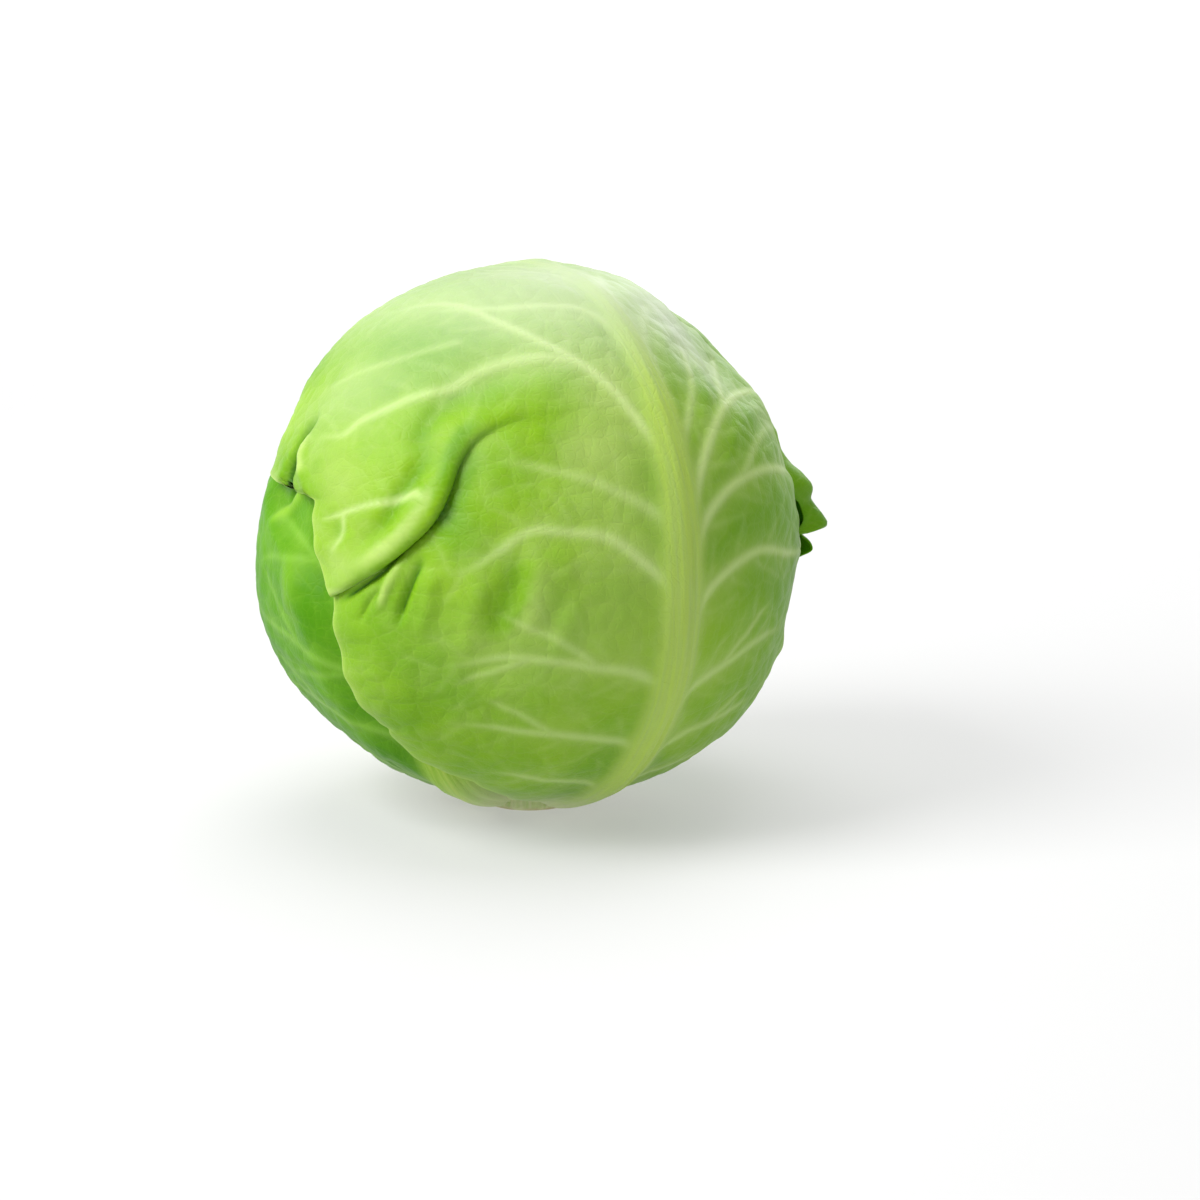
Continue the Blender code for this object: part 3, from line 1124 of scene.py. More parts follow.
class GeometryTree:
    """A geometry node tree with named inputs."""

    def __init__(self, name: str, inputs: dict[str, tuple[str, object]]) -> None:
        """Makes the tree and its sockets.

        Args:
            name: The tree's name.
            inputs: For each input its socket type and its value.
        """
        self.tree = bpy.data.node_groups.new(name, "GeometryNodeTree")
        self.graph = Graph(self.tree)
        self.values = {key: value for key, (_, value) in inputs.items()}
        face = self.tree.interface
        face.new_socket("Geometry", in_out="INPUT", socket_type="NodeSocketGeometry")
        self.ids = {
            key: face.new_socket(key, in_out="INPUT", socket_type=kind).identifier
            for key, (kind, _) in inputs.items()
        }
        face.new_socket("Geometry", in_out="OUTPUT", socket_type="NodeSocketGeometry")
        self.start = self.graph.node("NodeGroupInput")

    def input(self, name: str) -> Value:
        """One of the tree's inputs."""
        return self.start.out(name)

    def finish(self, geometry: Value) -> None:
        """Ends the tree in real geometry with its material."""
        real = self.graph.node("GeometryNodeRealizeInstances", None, {"Geometry": geometry}).out(0)
        inputs = {"Geometry": real, "Material": self.input("Material")}
        dressed = self.graph.node("GeometryNodeSetMaterial", None, inputs).out(0)
        self.graph.node("NodeGroupOutput", None, {"Geometry": dressed})

    def apply(self, piece: bpy.types.Object) -> None:
        """Runs the tree on an object and keeps the result as its plain mesh."""
        modifier = piece.modifiers.new(self.tree.name, "NODES")
        modifier.node_group = self.tree
        for key, value in self.values.items():
            modifier[self.ids[key]] = value
        graph = bpy.context.evaluated_depsgraph_get()
        mesh = bpy.data.meshes.new_from_object(piece.evaluated_get(graph))
        piece.modifiers.remove(modifier)
        old, piece.data = piece.data, mesh
        mesh.name = piece.name
        bpy.data.meshes.remove(old)


def pucker_tree(height: float, size: float, grain: float, material: bpy.types.Material) -> GeometryTree:
    """The blade between the small veins swells outwards, and the whole of it is slightly uneven.

    Args:
        height: How far the blade swells.
        size: The spacing of the small veins.
        grain: The height of the unevenness.
        material: The finish.
    """
    made = GeometryTree(
        "pucker",
        {
            "Height": ("NodeSocketFloat", height),
            "Scale": ("NodeSocketFloat", 1 / size),
            "Grain": ("NodeSocketFloat", grain),
            "Material": ("NodeSocketMaterial", material),
        },
    )
    graph = made.graph
    settings = {"data_type": "FLOAT_VECTOR"}
    plane = graph.node("GeometryNodeInputNamedAttribute", settings, {"Name": "flat"}).out("Attribute")
    mask = graph.node(
        "GeometryNodeInputNamedAttribute", {"data_type": "FLOAT"}, {"Name": "lamina"}
    ).out("Attribute")
    settings = {"voronoi_dimensions": "2D", "feature": "DISTANCE_TO_EDGE"}
    inputs = {"Vector": plane, "Scale": made.input("Scale"), "Randomness": 0.9}
    apart = graph.node("ShaderNodeTexVoronoi", settings, inputs).out("Distance")
    pillow = graph.band(apart, 0.0, 0.38)
    slow = graph.noise(plane, 60.0, 2.0) - 0.5
    lift = mask * (pillow * made.input("Height") + slow * made.input("Grain"))
    normal = graph.node("GeometryNodeInputNormal").out(0)
    offset = graph.node("ShaderNodeVectorMath", {"operation": "SCALE"}, {0: normal, "Scale": lift})
    inputs = {"Geometry": made.input("Geometry"), "Offset": offset.out(0)}
    made.finish(graph.node("GeometryNodeSetPosition", None, inputs).out(0))
    return made


def bundle_tree(count: int, ring: float, size: float, material: bpy.types.Material) -> GeometryTree:
    """Small flattened knobs evenly round a ring, with their feet on the ground.

    Args:
        count: How many knobs there are.
        ring: The radius of the ring.
        size: The radius of a knob.
        material: The finish.
    """
    made = GeometryTree(
        "bundles",
        {
            "Count": ("NodeSocketInt", count),
            "Ring": ("NodeSocketFloat", ring),
            "Size": ("NodeSocketFloat", size),
            "Material": ("NodeSocketMaterial", material),
        },
    )
    graph = made.graph
    inputs = {"Vertices": made.input("Count"), "Radius": made.input("Ring")}
    places = graph.node("GeometryNodeMeshCircle", None, inputs).out(0)
    inputs = {"Segments": 14, "Rings": 8, "Radius": made.input("Size")}
    knob = graph.node("GeometryNodeMeshUVSphere", None, inputs).out(0)
    inputs = {"Geometry": knob, "Translation": (0.0, 0.0, 0.0006), "Scale": (1.0, 1.0, 0.7)}
    knob = graph.node("GeometryNodeTransform", None, inputs).out(0)
    inputs = {"Points": places, "Instance": knob}
    made.finish(graph.node("GeometryNodeInstanceOnPoints", None, inputs).out(0))
    return made


# --------------------------------------------------------------------------- pieces


@dataclass
class Blade:
    """A leaf as it is seen, built round its Leaf."""

    leaf: Leaf
    finish: LeafFinish
    slot: str
    cells: int
    seed: int
    veins: tuple[Vein | Trace, ...] = ()
    ranks: int = 2
    folds: tuple[Fold, ...] = ()
    creases: tuple[Crease, ...] = ()
    swells: tuple[Swell, ...] = ()
    # painted light and shade, as marks that make the blade paler or deeper green
    painted_light_shade_and_tints: tuple[Crease | Swell, ...] = ()
    # spots of painted sheen
    painted_sheen_spots: tuple[Swell, ...] = ()
    lobes: tuple[Lobe, ...] = ()
    lean: float = 0.0
    # how strongly painted sheen whitens the top of the head
    painted_sheen: float = 0.75
    jag: float = 0.0016
    ruffle: float = 0.0014
    puff: float = 0.0007

    thickness = 0.0009
    margin_thickness = 0.0005
    base_growth = 4.4
    nicks = 7
    press_depth = 0.0006
    press_reach = 0.006
    ruffle_reach = 0.008
    lowest_lift = -0.0011
    thin_reach = 0.006
    puff_reach = 0.011
    edge_width = 0.0012

    def grid(self) -> Points:
        """The blade's places in radians, as (rows, columns, 2), with the base in the first row."""
        count = self.cells
        side = np.linspace(-1, 1, count + 1)
        a, b = np.meshgrid(side - self.lean * (1 - side**2), side)
        across, along = a * np.sqrt(1 - b * b / 2), b * np.sqrt(1 - a * a / 2)
        bearing = np.arctan2(along, across)
        share, edge = np.hypot(across, along), self.leaf.outline(bearing, self.base_growth)
        away = share * (edge + (self.margin(bearing) - edge) * share**3)
        return np.stack([away * np.cos(bearing), away * np.sin(bearing)], axis=-1)

    def above_base(self, bearing: Points) -> Points:
        """0 at the base and 1 round the rest of the margin."""
        aside = np.abs(np.angle(np.exp(1j * (bearing + math.pi / 2))))
        return smooth((aside - 0.15) / 0.45)

    def margin(self, bearing: Points) -> Points:
        """The outline with its jags, nicks and lobes, in radians."""
        slow, fast = RingWaves(self.seed, 4, 13), RingWaves(self.seed + 1, 14, 60)
        out = self.jag * (0.9 * slow(bearing) + 0.38 * fast(bearing))
        draw = np.random.default_rng(self.seed + 2)
        for _ in range(self.nicks):
            at, depth = draw.uniform(0, 2 * math.pi), draw.uniform(0.0006, 0.0026)
            aside = np.angle(np.exp(1j * (bearing - at))) * HEAD.mean_radius * 1.4
            out = out - depth * bell(aside / draw.uniform(0.0009, 0.0024))
        for lobe in self.lobes:
            out = out + lobe.point * lobe.shape(bearing)
        edge = self.leaf.outline(bearing, self.base_growth)
        return edge + out * self.above_base(bearing) / HEAD.mean_radius

    def lie(self, directions: Points) -> tuple[Points, Points]:
        """Where the blade lies among the other layers.

        Returns:
            The radius, and 1 where no leaf lies over this one, falling to 0 where one does.
        """
        place = LEAVES.index(self.leaf)
        radius = HEAD.surface(directions)
        for under in LEAVES[place + 1 :]:
            radius = radius + HEAD.rib_share * under.rib_bed(directions)
        bare = np.ones_like(radius)
        for over in LEAVES[:place]:
            radius = radius - over.press(directions)
            bare = bare * (1 - over.cover(directions))
        return radius, bare

    def rib_profile(self, x: Points, y: Points) -> tuple[Points, Points]:
        """The midrib's height over the blade, and how much of a point's width is rib."""
        along = self.leaf.along(y)
        width = (HEAD.rib_base_width + (HEAD.rib_tip_width - HEAD.rib_base_width) * along) * 1.08
        off = (x - self.leaf.rib_line(y)) * HEAD.mean_radius / width
        crown = np.exp(-np.abs(off) ** 2.8)
        grooves = 0.16 * bell((off + 0.42) / 0.16) + 0.22 * bell((off - 0.36) / 0.13)
        lines = 0.03 * np.sin(off * 19 + 2 * along)
        height = self.leaf.rib * ((1 - along) ** 0.9 + 0.10 * (1 - along) ** 0.3)
        fade = smooth((1 - along) / 0.12)
        mask = np.exp(-np.abs(off * 0.95) ** 4) * fade
        return height * (crown - (grooves + lines) * crown) * fade, mask

    def build(self) -> bpy.types.Object:
        """Builds the blade as a closed shell with its marks, and dresses it."""
        grid = self.grid()
        shape = grid.shape[:2]
        flat = grid.reshape(-1, 2)
        x, y = flat[:, 0], flat[:, 1]
        metres = flat * HEAD.mean_radius
        venation = Venation(self.leaf, self.veins, self.seed + 5, self.ranks)
        marks = venation.mark(metres)
        bearing = np.arctan2(y, x)
        inside = (self.margin(bearing) - np.hypot(x, y)) * HEAD.mean_radius
        rib, rib_mask = self.rib_profile(x, y)

        moved, raised, pale = metres.copy(), np.zeros(len(metres)), np.ones(len(metres))
        folded = np.zeros(len(metres))
        for part in self.creases + self.swells:
            raised += part.raise_points(metres)
        # Painted light and shade: positive marks raise pale as painted highlight, negative ones lower it
        # as painted shade.
        for painted_mark in self.painted_light_shade_and_tints:
            pale += painted_mark.raise_points(metres)
        for fold in self.folds:
            moved, more, shade = fold.bend(moved)
            raised += more
            # painted shade in the fold's crevice
            pale -= 1.5 * shade
            folded = np.maximum(folded, shade)
        mx, my = moved.T / HEAD.mean_radius
        directions = self.leaf.directions(mx, my)
        radius, bare = self.lie(directions)

        free = self.above_base(bearing) * bare
        broad, fine = RingWaves(self.seed + 3, 7, 22), RingWaves(self.seed + 4, 23, 48)
        wave = broad(bearing) + 0.5 * fine(bearing)
        ruffle = self.ruffle * wave * np.exp(-np.maximum(inside, 0) / self.ruffle_reach)
        press = -self.press_depth * np.exp(-np.maximum(inside, 0) / self.press_reach)
        lift = np.maximum(ruffle + press, self.lowest_lift) + self.leaf.margin_lift(x, y)
        for lobe in self.lobes:
            lift = lift + lobe.stand_off(bearing, np.maximum(inside, 0))
        plain = np.clip(1 - rib_mask - 0.8 * marks.vein, 0, 1)
        puff = self.puff * smooth(marks.near / self.puff_reach) * plain * bare
        middle = radius + 0.5 * self.thickness + raised + free * lift + puff
        mid = HEAD.centre + directions * middle[:, None]

        base = smooth((-y - math.radians(self.leaf.base_reach()) + 0.50) / 0.50)
        thicker = (self.thickness - self.margin_thickness) * smooth(inside / self.thin_reach)
        half = 0.5 * (self.margin_thickness + thicker)
        seen = HEAD.rib_share + (1 - HEAD.rib_share) * bare
        relief = (marks.ridge * (1 - rib_mask) + rib * seen) * smooth(inside / 0.004)
        attributes = {
            "vein": marks.vein * (1 - rib_mask),
            "halo": np.maximum(marks.halo, rib_mask),
            "rib": rib_mask * (1 - 0.55 * base),
            "edge": np.exp(-np.maximum(inside, 0) / self.edge_width) * self.above_base(bearing),
            "base": base * (0.35 + 0.65 * np.maximum(rib_mask, base**2)),
            # painted light and shade: 1 where nothing is painted
            "pale": pale,
            "lamina": plain * smooth(inside / 0.01) * bare * (1 - folded),
            # painted sheen: whiter towards the top of the head, where the overhead light falls, and in
            # the listed spots
            "painted_sheen": self.painted_sheen * smooth((directions[:, 2] - 0.62) / 0.36)
            + sum((spot.raise_points(metres) for spot in self.painted_sheen_spots), np.zeros(len(metres))),
        }
        shell = Shell(mid.reshape(*shape, 3), half.reshape(shape), relief.reshape(shape))
        mesh = shell.mesh(self.leaf.node, metres, attributes)
        piece = add_piece(f"{self.leaf.node}_blade", mesh)
        pucker_tree(0.00022, 1 / 120.0, 0.0006, self.finish.make()).apply(piece)
        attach(piece, BODY)
        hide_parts(self.leaf.node)
        log.info("%s: %d veins", piece.name, len(venation.strands))
        return piece


@dataclass
class Shell:
    """A closed thin shell round a grid of middle points: fine outside and half as fine inside."""

    middle: Points
    half: Points
    relief: Points

    def normals(self) -> Points:
        """The outward normal at each middle point."""
        rows, columns = np.gradient(self.middle, axis=(0, 1))
        normal = np.cross(columns, rows)
        normal /= np.maximum(np.linalg.norm(normal, axis=-1, keepdims=True), 1e-12)
        for row, row_in in ((0, 1), (-1, -2)):
            for column, column_in in ((0, 1), (-1, -2)):
                normal[row, column] = normal[row_in, column_in]
        return normal

    def rim(self) -> Points:
        """The middle of the margin, drawn out a little so that the edge is round."""
        out = np.zeros_like(self.middle)
        out[0], out[-1] = self.middle[0] - self.middle[1], self.middle[-1] - self.middle[-2]
        out[1:-1, 0] = self.middle[1:-1, 0] - self.middle[1:-1, 1]
        out[1:-1, -1] = self.middle[1:-1, -1] - self.middle[1:-1, -2]
        out /= np.maximum(np.linalg.norm(out, axis=-1, keepdims=True), 1e-12)
        return self.middle + out * self.half[..., None] * 0.9

    @staticmethod
    def loop(index: Points) -> Points:
        """The indices round a grid's border, anticlockwise as seen from outside."""
        return np.concatenate([index[0, :-1], index[:-1, -1], index[-1, :0:-1], index[:0:-1, 0]])

    def mesh(self, name: str, flat: Points, attributes: dict[str, Points]) -> bpy.types.Mesh:
        """Joins the outer face, the rim and the inner face.

        Args:
            name: The mesh's name.
            flat: The place of each middle point on the blade, in metres.
            attributes: Values at each middle point.
        """
        normal = self.normals()
        outer = self.middle + normal * (self.half + self.relief)[..., None]
        inner = (self.middle - normal * self.half[..., None])[::2, ::2]
        rows, columns = self.middle.shape[:2]
        index = np.arange(rows * columns).reshape(rows, columns)
        border = self.loop(index)
        rim = rows * columns + np.arange(len(border))
        start = rows * columns + len(border)
        under = start + np.arange(inner.shape[0] * inner.shape[1]).reshape(inner.shape[:2])
        inner_border = self.loop(under)

        points = [outer.reshape(-1, 3), self.rim().reshape(-1, 3)[border], inner.reshape(-1, 3)]
        source = np.concatenate([index.ravel(), border, index[::2, ::2].ravel()])
        quads = [self.quads(index), self.quads(under)[:, ::-1]]
        after = np.roll(rim, -1)
        quads.append(np.stack([border, rim, after, np.roll(border, -1)], 1))
        even, odd, later = rim[::2], rim[1::2], np.roll(rim, -2)[::2]
        next_inner = np.roll(inner_border, -1)
        triangles = np.concatenate(
            [
                np.stack([even, inner_border, odd], 1),
                np.stack([odd, inner_border, next_inner], 1),
                np.stack([odd, next_inner, later], 1),
            ]
        )
        faces = np.concatenate(quads).tolist() + triangles.tolist()
        made = bpy.data.meshes.new(name)
        made.from_pydata(np.concatenate(points), [], faces)
        made.shade_smooth()
        is_outer = (np.arange(len(source)) < rows * columns).astype(float)
        for key, values in attributes.items():
            kept = values[source] * (is_outer if key == "lamina" else 1.0)
            layer = made.attributes.new(key, "FLOAT", "POINT")
            layer.data.foreach_set("value", kept.astype(np.float32))
        place = np.column_stack([flat, np.zeros(len(flat))])[source].astype(np.float32)
        made.attributes.new("flat", "FLOAT_VECTOR", "POINT").data.foreach_set("vector", place.ravel())
        corner = np.empty(len(made.loops), np.int32)
        made.loops.foreach_get("vertex_index", corner)
        made.uv_layers.new(name="plane").data.foreach_set("uv", place[corner, :2].ravel())
        return made

    @staticmethod
    def quads(index: Points) -> Points:
        """The faces of a grid of indices."""
        corners = (index[:-1, :-1], index[:-1, 1:], index[1:, 1:], index[1:, :-1])
        return np.stack([corner.ravel() for corner in corners], 1)


def add_piece(name: str, mesh: bpy.types.Mesh) -> bpy.types.Object:
    """Links a mesh to the scene as an object at the origin."""
    piece = bpy.data.objects.new(name, mesh)
    bpy.context.scene.collection.objects.link(piece)
    return piece


@dataclass(frozen=True)
class Heart:
    """The tight inner leaves as one body, with a socket that the stem's core fills."""

    clearance: float = 0.0006
    under_leaves: float = 0.0012
    lowest: float = 0.0230
    rows: int = 90
    socket_rows: int = 30
    turns: int = 144

    def outside(self, polar: Points, azimuth: Points) -> Points:
        """The points of the outside, just under the innermost leaf."""
        flat = np.sin(polar)
        directions = np.stack([flat * np.cos(azimuth), flat * np.sin(azimuth), np.cos(polar)], -1)
        radius = HEAD.surface(directions) - self.under_leaves
        for leaf in LEAVES:
            radius = radius - leaf.press(directions)
        deepest = (HEAD.centre_height - self.lowest) / np.maximum(-directions[..., 2], 0.2)
        return HEAD.centre + directions * np.minimum(radius, deepest)[..., None]

    def build(self, stem: "Stem") -> bpy.types.Object:
        """Builds the body round the stem's core, and dresses it."""
        mouth = stem.radius_at(self.lowest) + self.clearance
        last = math.pi - math.atan2(mouth, HEAD.centre_height - self.lowest)
        turn = np.linspace(0, 2 * math.pi, self.turns, endpoint=False)
        polar, azimuth = np.meshgrid(np.linspace(0, last, self.rows)[1:], turn, indexing="ij")
        height = np.linspace(self.lowest + 0.002, stem.tip, self.socket_rows)[:-1]
        z, around = np.meshgrid(height, turn, indexing="ij")
        radius = stem.radius_at(z) + self.clearance
        socket = np.stack([radius * np.cos(around), radius * np.sin(around), z], -1)
        rings = np.concatenate([self.outside(polar, azimuth), socket])
        top = self.outside(np.zeros(1), np.zeros(1))[0]
        mesh = lathe("heart", rings, top, np.array((0.0, 0.0, stem.tip + self.clearance)))
        return whole_piece("heart", mesh, HeartFinish("heart").make())


@dataclass(frozen=True)
class Stem:
    """The cut foot with its leaf scars, and the core that tapers up inside the heart."""

    foot: float = HEAD.stem_radius
    crown: float = 0.0265
    tip: float = 0.1075
    recess: float = 0.0007
    scars: int = 6
    bundles: int = 34
    bundle_ring: float = 0.0118
    bundle_size: float = 0.00055
    rows: int = 190
    turns: int = 180

    @property
    def core(self) -> tuple[tuple[float, float], ...]:
        """The core inside the heart, as (radius, height)."""
        return (
            (0.0116, 0.0225), (0.0080, 0.0620), (0.0040, 0.1050), (0.0026, 0.1068), (0.0004, self.tip),
        )

    @property
    def profile(self) -> tuple[tuple[float, float], ...]:
        """The foot's cut and side, the crown that the leaves grow from, and the core."""
        return (
            (0.0004, 0.0), (self.foot * 0.55, 0.0), (self.foot - 0.0009, 0.0),
            (self.foot - 0.0002, 0.0006), (self.foot, 0.0035), (self.foot + 0.0008, 0.0056),
            (self.crown - 0.0040, 0.0072),
            (self.crown, 0.0096), (self.crown - 0.0004, 0.0140), (0.0150, 0.0198), *self.core,
        )

    def radius_at(self, height: Points) -> Points:
        """The core's radius at a height."""
        return np.interp(height, [z for _, z in self.core], [radius for radius, _ in self.core])

    def scar(self, azimuth: Points, height: Points) -> Points:
        """The ledges that the trimmed leaves left, the golden angle apart below the front leaf."""
        total = np.zeros_like(height)
        for lost in range(1, self.scars + 1):
            at = math.radians(FRONT_AZIMUTH - GOLDEN_ANGLE * lost - 90)
            aside = np.degrees(np.angle(np.exp(1j * (azimuth - at)))) / 38
            off = (height - 0.0115 + 0.0013 * lost + 0.0022 * aside**2) / 0.0009
            total += bell(off) * bell(aside) - 0.6 * bell(off - 1.7) * bell(aside)
        return total

    def build(self) -> bpy.types.Object:
        """Builds the stem and dresses it."""
        line = curve_through(self.profile, self.rows)
        turn = np.linspace(0, 2 * math.pi, self.turns, endpoint=False)
        radius, azimuth = np.meshgrid(line[:, 0], turn, indexing="ij")
        height = np.broadcast_to(np.maximum(line[:, 1:], 0), radius.shape)
        side = smooth(height / 0.002) * (1 - smooth((height - 0.014) / 0.006))
        round_place = np.stack([np.cos(azimuth), np.sin(azimuth), height * 12], -1)
        rough = Waves(71, 3, 0.12, 1.2)(round_place)
        fibres = np.sin(azimuth * 46 + 2.2 * rough)
        uneven = 0.0009 * self.scar(azimuth, height) + 0.00012 * fibres + 0.00022 * rough
        radius = radius + side * uneven
        on_cut = 1 - smooth(height / 0.0004)
        pith = 1 - smooth((radius / self.foot - 0.30) / 0.35)
        saw = 0.5 + 0.5 * np.sin((radius * np.cos(azimuth - 0.6)) * 2 * math.pi / 0.0017)
        inner = smooth((self.foot * 0.93 - radius) / 0.002)
        lift = on_cut * inner * (self.recess * pith + 0.00012 * saw)
        points = np.stack([radius * np.cos(azimuth), radius * np.sin(azimuth), height + lift], -1)
        foot = np.array((0.0, 0.0, self.recess))
        mesh = lathe("stem", points, foot, np.array((0.0, 0.0, self.tip)))
        material = StemFinish("cut_stem", 0.6).make()
        self.ring_of_bundles(material)
        return whole_piece("stem", mesh, material)

    def ring_of_bundles(self, material: bpy.types.Material) -> None:
        """Adds the ends of the vascular bundles, which dry into small knobs round the pith."""
        tree = bundle_tree(self.bundles, self.bundle_ring, self.bundle_size, material)
        piece = add_piece("stem_bundles", bpy.data.meshes.new("stem_bundles"))
        tree.apply(piece)
        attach(piece, BODY)
        log.info("%s: %d bundles", piece.name, self.bundles)


def lathe(name: str, rings: Points, first: Points, last: Points) -> bpy.types.Mesh:
    """Joins rings of points, in turn anticlockwise from above, into a closed body between two poles."""
    rows, turns = rings.shape[:2]
    index = 1 + np.arange(rows * turns).reshape(rows, turns)
    after = np.roll(index, -1, axis=1)
    sides = np.stack([index[:-1], index[1:], after[1:], after[:-1]], -1).reshape(-1, 4)
    end = rows * turns + 1
    cap = [(0, a, b) for a, b in zip(index[0], after[0])]
    floor = [(end, b, a) for a, b in zip(index[-1], after[-1])]
    mesh = bpy.data.meshes.new(name)
    points = np.concatenate([first[None], rings.reshape(-1, 3), last[None]])
    faces = [tuple(map(int, face)) for face in [*sides.tolist(), *cap, *floor]]
    mesh.from_pydata(points.tolist(), [], faces)
    if signed_volume(mesh) < 0:
        mesh.flip_normals()
    mesh.shade_smooth()
    return mesh


def signed_volume(mesh: bpy.types.Mesh) -> float:
    """The volume of a closed mesh, below 0 if it is inside out."""
    mesh.calc_loop_triangles()
    corners = np.array([[mesh.vertices[i].co for i in t.vertices] for t in mesh.loop_triangles])
    return float(np.einsum("ij,ij->i", corners[:, 0], np.cross(corners[:, 1], corners[:, 2])).sum() / 6)


def whole_piece(
    node: str, mesh: bpy.types.Mesh, material: bpy.types.Material
) -> bpy.types.Object:
    """Adds the one piece that stands for a node."""
    mesh.materials.append(material)
    piece = add_piece(f"{node}_body", mesh)
    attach(piece, BODY)
    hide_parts(node)
    log.info("%s: %d faces", piece.name, len(mesh.polygons))
    return piece


# --------------------------------------------------------------------------- studio


@dataclass(frozen=True)
class Studio:
    """A pale floor, soft light from all round and above, and the camera."""

    distance: float = 1.15
    elevation: float = 12.0
    lens: float = 102.0
    aim: tuple[float, float] = (0.0240, -0.0142)
    floor_radius: float = 16.0

    def build(self) -> None:
        """Adds the floor, the lights and the camera."""
        floor = self.floor()
        self.world()
        centre = Vector(HEAD.centre)
        self.softbox("key_softbox", centre, (-0.95, -0.45, 0.90), 0.8, 23.0)
        self.softbox("top_softbox", centre, (0.05, 0.30, 1.30), 1.1, 11.2)
        self.softbox("rim_softbox", centre, (0.60, 1.35, 0.75), 0.9, 8.0)
        self.camera(centre)

    def floor(self) -> bpy.types.Object:
        """A round floor with its top at the foot of the head."""
        steps = np.linspace(0, 2 * math.pi, 96, endpoint=False)
        points = [(self.floor_radius * math.cos(a), self.floor_radius * math.sin(a), 0.0) for a in steps]
        mesh = bpy.data.meshes.new("floor")
        mesh.from_pydata(points, [], [list(range(len(points)))])
        floor = add_piece("floor", mesh)
        mesh.materials.append(FloorFinish("pale_floor", 0.8).make())
        return floor

    def world(self) -> None:
        """A white surround that is darker overhead."""
        world = bpy.data.worlds.new("studio")
        world.use_nodes = True
        graph = Graph(world.node_tree)
        towards = graph.node("ShaderNodeTexCoord").out("Generated")
        height = graph.node("ShaderNodeSeparateXYZ", None, {0: towards}).out("Z")
        colour = graph.mix(graph.band(height, 0.10, 0.32), (1.0,) * 3, (0.40,) * 3)
        shade = graph.node("ShaderNodeBackground", None, {"Color": colour})
        graph.node("ShaderNodeOutputWorld", None, {"Surface": shade.out(0)})
        scene = bpy.context.scene
        scene.world = world
        scene.view_settings.view_transform = "Standard"

    def softbox(self, name: str, centre: Vector, off: tuple, size: float, power: float) -> None:
        """A square area light that faces the head's centre."""
        light = bpy.data.lights.new(name, "AREA")
        light.shape, light.size, light.energy = "SQUARE", size, power
        made = bpy.data.objects.new(name, light)
        made.location = centre + Vector(off)
        made.rotation_euler = (-Vector(off)).to_track_quat("-Z", "Y").to_euler()
        bpy.context.scene.collection.objects.link(made)

    def camera(self, centre: Vector) -> None:
        """The camera, turned a little off the head's centre."""
        tilt = math.radians(self.elevation)
        away = Vector((0.0, -math.cos(tilt), math.sin(tilt)))
        up = Vector((0.0, math.sin(tilt), math.cos(tilt)))
        place = centre + away * self.distance
        target = centre + Vector((self.aim[0], 0.0, 0.0)) + up * self.aim[1]
        data = bpy.data.cameras.new("camera")
        data.lens = self.lens
        made = bpy.data.objects.new("camera", data)
        made.location = place
        made.rotation_euler = (target - place).to_track_quat("-Z", "Y").to_euler()
        bpy.context.scene.collection.objects.link(made)
        bpy.context.scene.camera = made


# --------------------------------------------------------------------------- the cabbage

OUTER = LeafFinish("outer_leaf")
# BACK paints its shade an even darker green; LEFT has its own greens, and its own whitish green for
# frost and painted sheen.
BACK = LeafFinish("back_leaf", specular=0.08, painted_shade=(0.022, 0.135, 0.001), edge=(0.110, 0.300, 0.010))
LEFT = LeafFinish(
    "left_leaf", specular=0.08, green=(0.088, 0.275, 0.002), deep=(0.052, 0.200, 0.001),
    light=(0.220, 0.440, 0.030), vein=(0.300, 0.530, 0.080), bloom_and_sheen=(0.280, 0.460, 0.130),
)
MIDDLE = LeafFinish("middle_leaf", green=(0.32, 0.56, 0.06), deep=(0.20, 0.43, 0.03))
INNER = LeafFinish("inner_leaf", green=(0.48, 0.68, 0.18), deep=(0.36, 0.58, 0.10))

